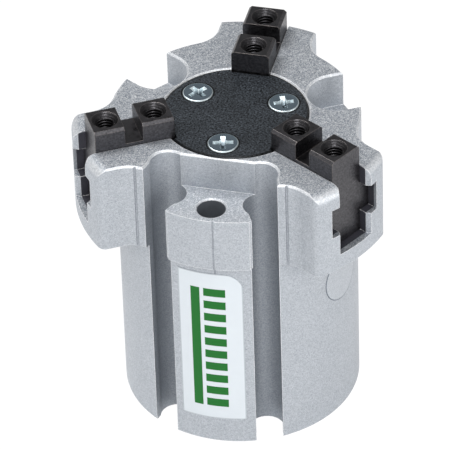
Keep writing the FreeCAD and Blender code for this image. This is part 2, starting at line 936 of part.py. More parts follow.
def make_rod_guide():
    """The bush, the rod seal and the washer that holds the seal in the partition."""
    bush_bottom = partition_top - bush_length
    retainer_top = partition_bottom + seal_retainer_thickness
    seal_top = retainer_top + rod_seal_height
    inner = rod_radius + running_gap
    seal = revolved(
        [
            (inner, retainer_top + rod_seal_lip),
            (inner + rod_seal_lip, retainer_top),
            (rod_seal_radius, retainer_top),
            (rod_seal_radius, seal_top),
            (inner, seal_top),
        ]
    )
    return {
        "rod_bush": tube(inner, bush_radius, bush_bottom, partition_top),
        "rod_seal": seal,
        "seal_retainer": tube(
            rod_radius + seal_retainer_gap, rod_seal_radius, partition_bottom, retainer_top
        ),
    }


def make_label():
    """The sticker on the front lug, with one rounded corner."""
    left = label_offset - label_width / 2
    right = label_offset + label_width / 2
    skin = tube(barrel_radius, barrel_radius + label_thickness, label_bottom, label_top)
    corner_y = right - label_corner_radius
    corner_z = label_top - label_corner_radius
    diagonal = label_corner_radius / math.sqrt(2)
    corners = [
        V(0, corner_y, label_top),
        V(0, left, label_top),
        V(0, left, label_bottom),
        V(0, right, label_bottom),
        V(0, right, corner_z),
    ]
    edges = [Part.LineSegment(a, b).toShape() for a, b in zip(corners, corners[1:])]
    edges.append(arc(corners[-1], V(0, corner_y + diagonal, corner_z + diagonal), corners[0]))
    outline = Part.Face(Part.Wire(edges)).extrude(V(far, 0, 0))
    return turned(skin.common(outline), FRONT_LUG)


def all_parts():
    """Every piece by its name."""
    parts = {
        "body": make_body(),
        "end_plate": make_end_plate(),
        "wedge_cam": make_wedge_cam(),
        "cam_bolt": make_cam_bolt(),
        "piston_rod": make_piston_rod(),
        "piston": make_piston(),
        "piston_nut": make_piston_nut(),
        "lower_bumper": make_bumper(piston_bottom - bumper_stand),
        "upper_bumper": make_bumper(piston_top + bumper_stand - bumper_thickness),
        "end_cap": make_end_cap(),
        "end_cap_oring": make_cap_oring(),
        "retaining_ring": make_retaining_ring(),
        "label": make_label(),
    }
    for name, direction in ARM_DIRECTIONS.items():
        parts["finger_" + name] = make_finger(direction)
    for name, direction in zip(("front", "right", "left"), LUG_DIRECTIONS):
        parts["plate_screw_" + name] = make_plate_screw(direction)
    parts.update(make_piston_rings())
    parts.update(make_rod_guide())
    return parts


def main():
    """Builds the pieces and writes one file for each."""
    os.makedirs("parts", exist_ok=True)
    for name, shape in all_parts().items():
        solids = shape.Solids
        solid = solids[0] if len(solids) == 1 else Part.makeCompound(solids)
        print(f"{name}: {len(solids)} solid, valid {solid.isValid()}, {solid.Volume:.1f} mm3")
        solid.exportStep("parts/" + name + ".step")


main()
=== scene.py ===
"""Three-finger pneumatic gripper: finishes, screws, threads, label, sticker, camera and studio."""
import bmesh
import bpy
import json
import math
from mathutils import Matrix, Vector


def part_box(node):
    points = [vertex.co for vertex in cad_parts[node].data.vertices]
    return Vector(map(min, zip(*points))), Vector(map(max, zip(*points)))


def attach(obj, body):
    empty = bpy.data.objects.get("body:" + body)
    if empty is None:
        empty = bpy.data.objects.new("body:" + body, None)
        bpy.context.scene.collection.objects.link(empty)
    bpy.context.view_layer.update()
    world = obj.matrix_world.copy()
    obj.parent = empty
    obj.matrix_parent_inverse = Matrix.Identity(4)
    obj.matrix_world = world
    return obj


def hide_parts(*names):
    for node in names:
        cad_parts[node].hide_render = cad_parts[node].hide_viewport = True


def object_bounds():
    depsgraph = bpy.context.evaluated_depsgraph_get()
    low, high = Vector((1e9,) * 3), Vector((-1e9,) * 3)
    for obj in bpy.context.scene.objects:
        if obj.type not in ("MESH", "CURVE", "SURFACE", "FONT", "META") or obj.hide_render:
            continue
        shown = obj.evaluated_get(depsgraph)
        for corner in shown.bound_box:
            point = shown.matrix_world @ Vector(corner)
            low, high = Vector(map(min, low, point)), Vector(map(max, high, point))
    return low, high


bl_info = {
    "name": "Three-finger gripper dressing",
    "version": (1, 0, 0),
    "blender": (4, 5, 0),
    "location": "3D View > Sidebar > Gripper",
    "description": "Finishes and fine pieces of a three-finger pneumatic gripper",
    "category": "Object",
}

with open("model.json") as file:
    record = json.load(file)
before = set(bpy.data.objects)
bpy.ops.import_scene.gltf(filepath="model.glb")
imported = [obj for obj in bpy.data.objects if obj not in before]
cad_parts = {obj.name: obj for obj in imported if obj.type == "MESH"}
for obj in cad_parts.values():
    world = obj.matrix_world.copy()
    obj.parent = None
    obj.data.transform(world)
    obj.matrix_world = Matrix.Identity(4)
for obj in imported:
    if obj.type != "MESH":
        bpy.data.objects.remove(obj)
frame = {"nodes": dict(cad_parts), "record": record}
cad_low, cad_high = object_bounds()

MM = 0.001

# The kinds of node that are added most. A mix has its factor at socket 0, two numbers at 2 and 3
# and two colours at 6 and 7.
MATH = "ShaderNodeMath"
VECTOR_MATH = "ShaderNodeVectorMath"
RANGE = "ShaderNodeMapRange"
MIX = "ShaderNodeMix"

# Places read from the frame, in metres
head_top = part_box("end_plate")[1].z
finger_low, finger_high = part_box("finger_back")
finger_end = finger_high.y
screw_low, screw_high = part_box("plate_screw_front")
screw_distance = -(screw_low.y + screw_high.y) / 2
screw_head_radius = (screw_high.x - screw_low.x) / 2
label_low, label_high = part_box("label")
barrel_radius = -label_low.y - 0.12 * MM
plate_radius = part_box("end_plate")[1].x
ledge_height = head_top - 9.1 * MM
flange_high = head_top - 5.3 * MM
flange_low = flange_high - 7.7 * MM
mounts = {mount["name"]: mount for mount in frame["record"]["mounts"]}
port_heights = [mounts[name]["pos_m"][2] for name in ("lower_air_port", "upper_air_port")]

# Directions in degrees and lengths of the CAD model that its boxes don't give
JAW_DIRECTIONS = {"back": 90.0, "left": 210.0, "right": 330.0}
LUG_DIRECTIONS = (270.0, 30.0, 150.0)
LUG_HOLE_DISTANCE = 24.45 * MM
LUG_HOLE_REACH = 3.45 * MM  # a little past the hole's wall
SLOT_START, SLOT_END = 17.35 * MM, 36.2 * MM  # from the axis, along an arm
SLOT_HALF_WIDTH = 4.7 * MM
SLOT_FLANGE_DEPTH = 2.9 * MM  # how much wider the slot is at its cross
SEAM_PLACES = ((-17.7 * MM, -24.46 * MM), (17.7 * MM, -24.46 * MM))
PARTING_LINE_X = 1.4 * MM
LUG_FRONT_Y = -27.0 * MM

# Sizes of what is only drawn on a surface
FINGER_HOLE_REACH = 3.15 * MM
PLATE_RING = 0.24 * MM  # painted highlight: a bright ring of the body round the end plate
PLATE_RIM = 0.42 * MM  # painted shadow: dark rim of the end plate
SCREW_GAP = 0.36 * MM  # painted shadow: dark gap round a plate screw
SEAM_REACH = 0.14 * MM
SEAM_BARE_REACH = 0.38 * MM  # no painted edge highlight this close to a seam
# Width of the painted shadow round the label's edge
LABEL_SHADOW_WIDTH = 0.22 * MM
PRINT_START, PRINT_END = 3.6 * MM, 4.4 * MM  # from the label's lower and upper edge
STRIPE = (3.0 * MM, 5.2 * MM)  # from the label's left edge
BLOCKS = (6.1 * MM, 11.3 * MM)
BLOCK_PITCH = 3.67 * MM
BLOCK_SHARE = 0.62

# Fine sizes of the pieces made here
LEAD_PITCH_SHARE = 0.55  # the turns in a countersink lie closer
LEAD_RIDGE = 0.2 * MM
PORT_THREAD_INSET = 0.9 * MM
SCREW_RIM = 0.3 * MM
RECESS_OVERCUT = 0.15 * MM
FLOOR_RADIUS = 6.0
FLOOR_GAP = 0.02 * MM

# Metals: name, colour, least and most roughness, depth and width of the marks in millimetres
PLAIN_METALS = {
    "hardened_steel": ("ground_hardened_steel", "#8A8B8C", 0.22, 0.36, 0.01, 0.4),
    "black_bolt": ("black_oxide_steel", "#1C1C1E", 0.34, 0.5, 0.01, 0.6),
    "rod_chrome": ("hard_chrome", "#CDD0D4", 0.08, 0.16, 0.004, 0.3),
    "plain_steel": ("zinc_plated_steel", "#A7AAAE", 0.26, 0.4, 0.01, 0.6),
    "spring_steel": ("phosphated_spring_steel", "#2B2B2D", 0.42, 0.6, 0.02, 0.6),
    "bronze": ("sintered_bronze", "#A9783F", 0.36, 0.52, 0.02, 0.25),
}

# Rubbers and plastics: name, colour, middle roughness, specular level
SOFT_POLYMERS = {
    "seal_rubber": ("nitrile_rubber", "#17171A", 0.62, 0.35),
    "bumper": ("cast_polyurethane", "#C9A457", 0.4, 0.5),
    "magnet": ("plastic_bonded_magnet", "#2A2826", 0.55, 0.4),
    "wear_ring": ("acetal", "#E3DFD0", 0.35, 0.5),
}

# Lamps: name, place in metres, width in metres, and the stage's property with the power
LAMPS = (
    ("overhead_softbox", (-0.25, 0.05, 0.60), 0.30, "key_power"),
    ("front_softbox", (0.10, -0.65, 0.80), 0.40, "front_power"),
    ("right_softbox", (0.85, -0.30, 0.30), 0.45, "side_power"),
)
LAMP_AIM = (0.0, 0.0, 0.04)


def linear(colour_hex):
    """An sRGB hex colour as linear red, green and blue."""
    channels = [int(colour_hex[i:i + 2], 16) / 255 for i in (1, 3, 5)]
    return [c / 12.92 if c <= 0.04045 else ((c + 0.055) / 1.055) ** 2.4 for c in channels]


def size(name, description, default):
    """A length property in metres."""
    return bpy.props.FloatProperty(
        name=name, description=description, default=default, unit="LENGTH", subtype="DISTANCE",
        precision=5,
    )


def angle(name, description, degrees):
    """An angle property, its default given in degrees."""
    return bpy.props.FloatProperty(
        name=name, description=description, default=math.radians(degrees), unit="ROTATION",
        subtype="ANGLE",
    )


def colour(name, description, default):
    """A colour property, its default given as sRGB hex."""
    return bpy.props.FloatVectorProperty(
        name=name, description=description, default=linear(default), subtype="COLOR", size=3,
        min=0.0, max=1.0,
    )


class GripperSizes(bpy.types.PropertyGroup):
    """Sizes of the pieces that are made here."""

    thread_radius: size("Thread radius", "Middle of the thread turns, in the hole's wall", 2.2 * MM)
    thread_pitch: size("Thread pitch", "Height of one turn", 0.8 * MM)
    thread_ridge: size("Thread ridge", "How far a turn stands out from that middle", 0.4 * MM)
    jaw_thread_length: size("Jaw thread length", "Length of the thread in a finger", 10.4 * MM)
    jaw_thread_top: size("Jaw thread top", "Depth of the last turn's middle", 1.1 * MM)
    jaw_hole_inset: size("Jaw hole inset", "Outer hole's distance from the finger's end", 3.6 * MM)
    jaw_hole_pitch: size("Jaw hole pitch", "Distance between the two holes", 11.5 * MM)
    lead_length: size("Lead length", "Height of the turns cut into a countersink", 0.85 * MM)
    lead_radius: size("Lead radius", "Radius of the last of these turns", 2.95 * MM)
    port_thread_length: size("Port thread length", "Length of the thread in a port", 9.6 * MM)
    recess_length: size("Recess length", "Length of a cross recess at the top", 4.5 * MM)
    recess_width: size("Recess width", "Width of a wing at the top", 1.15 * MM)
    recess_depth: size("Recess depth", "Depth of the cross recess", 1.6 * MM)
    screw_edge: size("Screw edge", "Roll-over at the rim of a screw head", 0.28 * MM)
    screw_shank_radius: size("Screw shank radius", "Radius of a plate screw's shank", 2.0 * MM)
    sticker_radius: size("Sticker radius", "Radius of the clear round sticker", 6.7 * MM)
    sticker_height: size("Sticker height", "Height of its centre above the base", 39.2 * MM)
    sticker_thickness: size("Sticker thickness", "How far it stands off the barrel", 0.06 * MM)
    sticker_direction: angle("Sticker direction", "Where it sits around the barrel", 343.0)
    right_screw_turn: angle("Right screw turn", "Turn of the rear right cross recess", 22.0)
    left_screw_turn: angle("Left screw turn", "Turn of the rear left cross recess", 52.0)
    front_screw_turn: angle("Front screw turn", "Turn of the front cross recess", 14.0)


class GripperColours(bpy.types.PropertyGroup):
    """Colours of the finishes."""

    body: colour("Body", "Blasted and anodised aluminium", "#C6CACF")
    # Also the colour of the painted shade on sheltered walls
    body_grain_and_shade: colour("Body grain", "Darker grains of the blasted surface", "#4D5765")
    # Painted highlight: this white goes on edges, roundings, the ring round the end plate and
    # upward grains
    body_highlight: colour("Body edges", "Polished high spots of the body", "#FFFFFF")
    # Painted shade: the slot and hole walls are darker than their machined metal
    body_slot: colour("Guide slots", "Machined walls of the guide slots", "#4E4E56")
    body_drilled: colour("Drilled holes", "Walls of the mounting holes", "#7C8188")
    plate: colour("End plate", "Dark coated steel", "#5F666E")
    # Also the colour of the painted shadow at the plate's rim and round its screws
    plate_grain_and_shade: colour("End plate grain", "Darker grains of the coating", "#050607")
    finger: colour("Fingers", "Blackened steel", "#5B5A5D")
    # Painted highlight colour of the fingers' edges
    finger_edge_highlight: colour("Finger edges", "Paler worn edges of the fingers", "#78726F")
    screw: colour("Screws", "Bright zinc", "#8C9EAB")
    # Painted highlight colour of the recess walls
    screw_recess_highlight: colour("Screw recess", "Bright walls of the cross recesses", "#D3DEE2")
    label: colour("Label", "White vinyl", "#C3C9CE")
    label_print: colour("Label print", "Green printing ink", "#085F1B")
    # Painted shadow colour round the label's edge
    label_rim_shadow: colour("Label rim", "Cut edge of the label", "#A9AFB4")
    floor: colour("Floor", "Pale floor and backdrop", "#FFFFFF")


class GripperStage(bpy.types.PropertyGroup):
    """Camera and light."""

    azimuth: angle("Azimuth", "Camera's turn around the part", 14.5815)
    elevation: angle("Elevation", "Camera's height above the horizon", 38.3437)
    roll: angle("Roll", "Camera's turn about its own axis", -1.9317)
    distance: size("Distance", "From the camera to the point it looks at", 1095.195 * MM)
    target_height: size("Target height", "Height of the point it looks at", 43.0 * MM)
    target_side: size("Target side", "How far that point lies to the camera's right", -3.15 * MM)
    focal_length: bpy.props.FloatProperty(
        name="Focal length", description="In millimetres, on a sensor 36 mm wide", default=373.33
    )
    key_power: bpy.props.FloatProperty(
        name="Key power", description="Power of the large lamp, in watts", default=1.95
    )
    front_power: bpy.props.FloatProperty(
        name="Front power", description="Power of the lamp above the camera, in watts", default=5.6
    )
    side_power: bpy.props.FloatProperty(
        name="Side power", description="Power of the lamp on the right, in watts", default=2.4
    )
    sky: bpy.props.FloatProperty(
        name="Sky", description="Strength of the light from all round", default=0.64
    )


def feed(tree, node, inputs):
    """Feeds a node's sockets, by name or number: a value is set, a socket or a node is linked."""
    for name, value in inputs.items():
        if isinstance(value, bpy.types.Node):
            value = next(output for output in value.outputs if output.enabled)
        if isinstance(value, bpy.types.NodeSocket):
            tree.links.new(value, node.inputs[name])
        else:
            node.inputs[name].default_value = value


def add(tree, kind, inputs=None, **settings):
    """Adds a node with its own settings, and feeds its sockets."""
    made = tree.nodes.new(kind)
    for name, value in settings.items():
        setattr(made, name, value)
    feed(tree, made, inputs or {})
    return made


def new_material(name, values):
    """A material with one shader, with these values by socket name."""
    material = bpy.data.materials.new(name)
    material.use_nodes = True
    tree = material.node_tree
    tree.nodes.clear()
    shader = add(tree, "ShaderNodeBsdfPrincipled", values)
    add(tree, "ShaderNodeOutputMaterial", {"Surface": shader})
    return material, tree, shader


def rgba(colour_value):
    """A colour with full opacity."""
    return (*colour_value, 1.0)


def dimmed(colour_value, share):
    """A colour at a share of its brightness."""
    return [c * share for c in colour_value]


def grain(tree, millimetres, detail=2.0, stretch=(1.0, 1.0, 1.0)):
    """A noise pattern whose grains are about so many millimetres wide, in object coordinates."""
    place = add(tree, "ShaderNodeTexCoord")
    mapping = add(
        tree, "ShaderNodeMapping", {"Vector": place.outputs["Object"], "Scale": stretch}
    )
    noise = add(
        tree,
        "ShaderNodeTexNoise",
        {"Vector": mapping, "Scale": 1.0 / (millimetres * MM), "Detail": detail},
    )
    return noise.outputs["Fac"]


def pepper(tree, millimetres):
    """Cells about so many millimetres wide, each with its own value from 0 to 1."""
    place = add(tree, "ShaderNodeTexCoord")
    cells = add(
        tree,
        "ShaderNodeTexVoronoi",
        {"Vector": place.outputs["Object"], "Scale": 1.0 / (millimetres * MM)},
    )
    parts = add(tree, "ShaderNodeSeparateColor", {0: cells.outputs["Color"]})
    return parts.outputs[0]


def band(tree, value, low, high):
    """1 where a value lies between two limits."""
    above = add(tree, MATH, {0: value, 1: low}, operation="GREATER_THAN")
    below = add(tree, MATH, {0: value, 1: high}, operation="LESS_THAN")
    return add(tree, MATH, {0: above, 1: below}, operation="MULTIPLY")


def edge_mask(tree, radius):
    """1 on edges within a radius in metres, by how far rounding would turn the surface."""
    rounded = add(tree, "ShaderNodeBevel", {"Radius": radius}, samples=6)
    flat = add(tree, "ShaderNodeNewGeometry").outputs["Normal"]
    same = add(tree, VECTOR_MATH, {0: rounded, 1: flat}, operation="DOT_PRODUCT")
    return add(tree, RANGE, {"Value": same, "From Min": 0.995, "From Max": 0.93})


def relief(tree, shader, height, depth, edge=0.0, strength=1.0):
    """Bump from a height pattern, over edges that are rounded by a small radius in metres."""
    inputs = {"Height": height, "Distance": depth, "Strength": strength}
    if edge:
        inputs["Normal"] = add(tree, "ShaderNodeBevel", {"Radius": edge}, samples=6)
    feed(tree, shader, {"Normal": add(tree, "ShaderNodeBump", inputs)})


def facing_up(tree):
    """How far a point's surface faces upwards, from -1 to 1."""
    normal = add(tree, "ShaderNodeTexCoord").outputs["Normal"]
    return add(tree, "ShaderNodeSeparateXYZ", {0: normal}).outputs["Z"]


def position(tree):
    """A point's three object coordinates, by the names X, Y and Z."""
    place = add(tree, "ShaderNodeTexCoord").outputs["Object"]
    return add(tree, "ShaderNodeSeparateXYZ", {0: place}).outputs


def dropped(tree):
    """A point dropped to z = 0, as a vector."""
    place = position(tree)
    return add(tree, "ShaderNodeCombineXYZ", {"X": place["X"], "Y": place["Y"]})


def places_around(directions, distance):
    """The points at one distance from the part's axis, in these directions in degrees."""
    turns = [math.radians(degrees) for degrees in directions]
    return [(distance * math.cos(turn), distance * math.sin(turn)) for turn in turns]


def near_axes(tree, places, radius):
    """1 within a radius of the upright lines through these places."""
    flat = dropped(tree)
    total = 0.0
    for x, y in places:
        away = add(tree, VECTOR_MATH, {0: flat, 1: (x, y, 0.0)}, operation="DISTANCE")
        near = add(tree, MATH, {0: away, 1: radius}, operation="LESS_THAN")
        total = add(tree, MATH, {0: near, 1: total}, operation="ADD")
    return total


def slot_mask(tree):
    """1 on the walls inside the three guide slots."""
    place = add(tree, "ShaderNodeTexCoord").outputs["Object"]
    height = add(tree, "ShaderNodeSeparateXYZ", {0: place}).outputs["Z"]
    level = band(tree, height, finger_low.z - 0.2 * MM, head_top - 0.45 * MM)
    flange = band(tree, height, flange_low - 0.12 * MM, flange_high + 0.12 * MM)
    wider = add(tree, MATH, {0: flange, 1: SLOT_FLANGE_DEPTH}, operation="MULTIPLY")
    reach = add(tree, MATH, {0: SLOT_HALF_WIDTH, 1: wider}, operation="ADD")
    total = 0.0
    for degrees in JAW_DIRECTIONS.values():
        turn = math.radians(degrees)
        outward = (math.cos(turn), math.sin(turn), 0.0)
        sideways = (-math.sin(turn), math.cos(turn), 0.0)
        out = add(tree, VECTOR_MATH, {0: place, 1: outward}, operation="DOT_PRODUCT")
        side = add(tree, VECTOR_MATH, {0: place, 1: sideways}, operation="DOT_PRODUCT")
        along = band(tree, out, SLOT_START, SLOT_END)
        off_middle = add(tree, MATH, {0: side}, operation="ABSOLUTE")
        across = add(tree, MATH, {0: off_middle, 1: reach}, operation="LESS_THAN")
        inside = add(tree, MATH, {0: along, 1: across}, operation="MULTIPLY")
        total = add(tree, MATH, {0: inside, 1: total}, operation="ADD")
    return add(tree, MATH, {0: total, 1: level}, operation="MULTIPLY")


def drilled_mask(tree):
    """1 on the walls of the three mounting holes."""
    places = places_around(LUG_DIRECTIONS, LUG_HOLE_DISTANCE)
    near = near_axes(tree, places, LUG_HOLE_REACH)
    below = add(
        tree, MATH, {0: position(tree)["Z"], 1: ledge_height - 0.3 * MM}, operation="LESS_THAN"
    )
    return add(tree, MATH, {0: near, 1: below}, operation="MULTIPLY")


def ring_mask(tree, low, high):
    """1 between two distances from the axis, near the top of the head."""
    away = add(tree, VECTOR_MATH, {0: dropped(tree)}, operation="LENGTH")
    ring = band(tree, away, low, high)
    top = add(
        tree, MATH, {0: position(tree)["Z"], 1: head_top - 0.5 * MM}, operation="GREATER_THAN"
    )
    return add(tree, MATH, {0: ring, 1: top}, operation="MULTIPLY")


def screw_gap_mask(tree):
    """1 on the end plate close round its three screws."""
    places = places_around(LUG_DIRECTIONS, screw_distance)
    return near_axes(tree, places, screw_head_radius + SCREW_GAP)


def finger_hole_mask(tree, sizes):
    """1 in and close round the six threaded holes of the fingers, below their tops."""
    places = []
    for inset in (sizes.jaw_hole_inset, sizes.jaw_hole_inset + sizes.jaw_hole_pitch):
        places += places_around(JAW_DIRECTIONS.values(), finger_end - inset)
    near = near_axes(tree, places, FINGER_HOLE_REACH)
    below = add(
        tree, MATH, {0: position(tree)["Z"], 1: finger_high.z - 0.06 * MM}, operation="LESS_THAN"
    )
    return add(tree, MATH, {0: near, 1: below}, operation="MULTIPLY")


def corner_seam_mask(tree, width):
    """1 along the casting's two upright seams beside the front recess."""
    return near_axes(tree, SEAM_PLACES, width * 1.3)


def seam_mask(tree, width):
    """1 along all the casting's fine seams at the front."""
    place = position(tree)
    line = band(tree, place["X"], PARTING_LINE_X - width, PARTING_LINE_X + width)
    front = add(tree, MATH, {0: place["Y"], 1: LUG_FRONT_Y}, operation="LESS_THAN")
    above = add(tree, MATH, {0: place["Z"], 1: 0.0}, operation="GREATER_THAN")
    on_lug = add(tree, MATH, {0: front, 1: above}, operation="MULTIPLY")
    parting = add(tree, MATH, {0: line, 1: on_lug}, operation="MULTIPLY")
    return add(tree, MATH, {0: parting, 1: corner_seam_mask(tree, width)}, operation="ADD")


def blasted_anodised_aluminium(colours):
    """Cast aluminium, shot blasted and clear anodised: a silver speckle with a satin sheen.

    The real grains are finer than the picture shows, so they are drawn 0.2 to 0.27 mm wide.
    """
    material, tree, shader = new_material(
        "blasted_anodised_aluminium", {"Specular IOR Level": 0.5}
    )
    dark, bright = rgba(colours.body_grain_and_shade), rgba(colours.body_highlight)
    facing = facing_up(tree)
    upward = add(tree, RANGE, {"Value": facing, "From Min": 0.6, "From Max": 0.95})
    level = add(tree, MATH, {0: 1.0, 1: upward}, operation="SUBTRACT")

    # Grains, whose strength is painted light: stronger on what faces up, as painted sparkle, and
    # calmer on the lugs' ledges, which are painted lighter
    over_ledge = add(tree, MATH, {0: position(tree)["Z"], 1: ledge_height}, operation="SUBTRACT")
    off_ledge = add(tree, MATH, {0: over_ledge}, operation="ABSOLUTE")
    near_ledge = add(tree, RANGE, {"Value": off_ledge, "From Min": 0.4 * MM, "From Max": 0.3 * MM})
    ledge = add(tree, MATH, {0: near_ledge, 1: upward}, operation="MULTIPLY")
    fine = grain(tree, 0.2, 3.0)
    coarse = pepper(tree, 0.27)
    fine_spots = add(
        tree, RANGE, {"Value": fine, "From Min": 0.35, "From Max": 0.65, "To Max": 0.5}
    )
    coarse_spots = add(tree, MATH, {0: coarse, 1: 0.5}, operation="MULTIPLY")
    spots = add(tree, MATH, {0: fine_spots, 1: coarse_spots}, operation="ADD")
    by_facing = add(tree, RANGE, {"Value": upward, "To Min": 0.5, "To Max": 0.95})
    by_ledge = add(tree, RANGE, {"Value": ledge, "To Min": 1.0, "To Max": 0.6})
    contrast = add(tree, MATH, {0: by_facing, 1: by_ledge}, operation="MULTIPLY")
    spots = add(tree, MATH, {0: spots, 1: contrast}, operation="MULTIPLY")
    base = add(tree, MIX, {0: spots, 6: rgba(colours.body), 7: dark}, data_type="RGBA")
    cloud = add(tree, RANGE, {"Value": grain(tree, 9.0, 2.0), "To Max": 0.1})
    base = add(tree, MIX, {0: cloud, 6: base, 7: dark}, data_type="RGBA")

    # Painted highlight where roundings catch the light, and painted shade that dims sheltered walls
    from_wall = add(tree, RANGE, {"Value": facing, "From Min": 0.25, "From Max": 0.5})
    from_top = add(tree, RANGE, {"Value": facing, "From Min": 0.93, "From Max": 0.8})
    rounding = add(tree, MATH, {0: from_wall, 1: from_top}, operation="MULTIPLY")
    rounding_spots = add(tree, RANGE, {"Value": coarse, "To Max": 0.5})
    rounding = add(tree, MATH, {0: rounding, 1: rounding_spots}, operation="MULTIPLY")
    base = add(tree, MIX, {0: rounding, 6: base, 7: bright}, data_type="RGBA")
    # Painted shade: the more closed in a wall is, the darker its colour
    open_share = add(
        tree, "ShaderNodeAmbientOcclusion", {"Distance": 9.0 * MM}, samples=8, only_local=True
    )
    closed = add(
        tree,
        RANGE,
        {"Value": open_share.outputs["AO"], "From Min": 0.95, "From Max": 0.45, "To Max": 0.24},
    )
    sheltered_shade = add(tree, MATH, {0: closed, 1: level}, operation="MULTIPLY")
    base = add(tree, MIX, {0: sheltered_shade, 6: base, 7: dark}, data_type="RGBA")

    # Machined walls of the guide slots and drilled holes, in darker colours that add painted shade
    slot = slot_mask(tree)
    base = add(tree, MIX, {0: slot, 6: base, 7: rgba(colours.body_slot)}, data_type="RGBA")
    base = add(
        tree, MIX, {0: drilled_mask(tree), 6: base, 7: rgba(colours.body_drilled)}, data_type="RGBA"
    )

    # Painted highlights on the edges, patchy like wear, and in a ring round the end plate, and the
    # casting's seams
    highlight_spread = add(
        tree,
        RANGE,
        {"Value": coarse, "From Min": 0.1, "From Max": 0.6, "To Min": 0.15, "To Max": 0.85},
    )
    edges = add(tree, MATH, {0: edge_mask(tree, 0.2 * MM), 1: highlight_spread}, operation="MULTIPLY")
    off_seam = add(tree, MATH, {0: 1.0, 1: seam_mask(tree, SEAM_BARE_REACH)}, operation="SUBTRACT")
    edges = add(tree, MATH, {0: edges, 1: off_seam}, operation="MULTIPLY")
    ring = ring_mask(tree, plate_radius, plate_radius + PLATE_RING)
    ring = add(tree, MATH, {0: ring, 1: 0.6}, operation="MULTIPLY")
    edges = add(tree, MATH, {0: edges, 1: ring}, operation="MAXIMUM")
    seam = add(tree, MATH, {0: corner_seam_mask(tree, SEAM_REACH), 1: 0.45}, operation="MULTIPLY")
    base = add(tree, MIX, {0: seam, 6: base, 7: dark}, data_type="RGBA")
    base = add(tree, MIX, {0: edges, 6: base, 7: bright}, data_type="RGBA")

    # Painted glints: single bright grains on what faces up
    salt = add(
        tree, RANGE, {"Value": pepper(tree, 0.2), "From Min": 0.6, "From Max": 0.95, "To Max": 0.45}
    )
    salt = add(tree, MATH, {0: salt, 1: upward}, operation="MULTIPLY")
    blasted = add(tree, MATH, {0: 1.0, 1: slot}, operation="SUBTRACT")
    salt = add(tree, MATH, {0: salt, 1: blasted}, operation="MULTIPLY")
    base = add(tree, MIX, {0: salt, 6: base, 7: bright}, data_type="RGBA")

    metallic = add(tree, RANGE, {"Value": edges, "To Min": 0.75, "To Max": 0.15})
    roughness = add(
        tree,
        RANGE,
        {"Value": fine, "From Min": 0.3, "From Max": 0.7, "To Min": 0.46, "To Max": 0.62},
    )
    feed(tree, shader, {"Base Color": base, "Metallic": metallic, "Roughness": roughness})
    relief(tree, shader, spots, 0.05 * MM, edge=0.14 * MM, strength=1.0)
    return material


def coated_steel_plate(colours):
    """Steel sheet with a dark coating: semi-gloss and mottled."""
    material, tree, shader = new_material("coated_steel_plate", {"Metallic": 0.7})
    mottle = grain(tree, 0.42, 4.0)
    patches = add(
        tree,
        RANGE,
        {"Value": grain(tree, 5.0, 3.0), "From Min": 0.35, "From Max": 0.65, "To Min": 0.75},
    )
    spots = add(tree, RANGE, {"Value": mottle, "From Min": 0.42, "From Max": 0.64, "To Max": 0.6})
    grains = add(tree, MATH, {0: pepper(tree, 0.25), 1: 0.4}, operation="MULTIPLY")
    spread = add(tree, MATH, {0: spots, 1: grains}, operation="ADD")
    spread = add(tree, MATH, {0: spread, 1: patches}, operation="MULTIPLY")
    base = add(
        tree,
        MIX,
        {0: spread, 6: rgba(colours.plate_grain_and_shade), 7: rgba(colours.plate)},
        data_type="RGBA",
    )
    # Painted shadow along the plate's rim and in the gaps round its screws
    rim = ring_mask(tree, plate_radius - PLATE_RIM, plate_radius + 0.1 * MM)
    rim = add(tree, MATH, {0: rim, 1: screw_gap_mask(tree)}, operation="MAXIMUM")
    rim = add(tree, MATH, {0: rim, 1: 0.85}, operation="MULTIPLY")
    base = add(tree, MIX, {0: rim, 6: base, 7: rgba(colours.plate_grain_and_shade)}, data_type="RGBA")
    roughness = add(
        tree,
        RANGE,
        {"Value": mottle, "From Min": 0.3, "From Max": 0.7, "To Min": 0.24, "To Max": 0.5},
    )
    feed(tree, shader, {"Base Color": base, "Roughness": roughness})
    relief(tree, shader, mottle, 0.06 * MM, edge=0.12 * MM, strength=1.0)
    return material


def blackened_ground_steel(colours, sizes):
    """Hardened steel, ground and chemically blackened: dark grey-brown, with painted highlights on
    the edges and painted shade on the tops and in the holes.
    """
    material, tree, shader = new_material("blackened_ground_steel", {"Metallic": 1.0})
    mottle = grain(tree, 0.5, 4.0)
    strokes = grain(tree, 0.3, 2.0, stretch=(0.25, 0.25, 1.0))
    darker = rgba(dimmed(colours.finger, 0.6))
    # Painted shade: what faces up is mixed towards the darker colour
    upward = add(
        tree, RANGE, {"Value": facing_up(tree), "From Min": 0.6, "From Max": 0.95, "To Max": 0.9}
    )
    patches = add(tree, RANGE, {"Value": mottle, "From Min": 0.35, "From Max": 0.65})
    base = add(tree, MIX, {0: patches, 6: darker, 7: rgba(colours.finger)}, data_type="RGBA")
    base = add(tree, MIX, {0: upward, 6: base, 7: darker}, data_type="RGBA")
    # Painted highlight on the edges, patchy like wear
    highlight_spread = add(tree, RANGE, {"Value": mottle, "From Min": 0.35, "From Max": 0.65, "To Min": 0.3})
    highlit = add(tree, MATH, {0: edge_mask(tree, 0.25 * MM), 1: highlight_spread}, operation="MULTIPLY")
    base = add(tree, MIX, {0: highlit, 6: base, 7: rgba(colours.finger_edge_highlight)}, data_type="RGBA")
    # Painted shade in and round the threaded holes
    hole_shade = add(tree, MATH, {0: finger_hole_mask(tree, sizes), 1: 0.8}, operation="MULTIPLY")
    base = add(
        tree, MIX, {0: hole_shade, 6: base, 7: rgba(dimmed(colours.finger, 0.3))}, data_type="RGBA"
    )
    roughness = add(
        tree,
        RANGE,
        {"Value": strokes, "From Min": 0.3, "From Max": 0.7, "To Min": 0.26, "To Max": 0.48},
    )
    feed(tree, shader, {"Base Color": base, "Roughness": roughness})
    relief(tree, shader, strokes, 0.015 * MM, edge=0.2 * MM, strength=0.6)
    return material


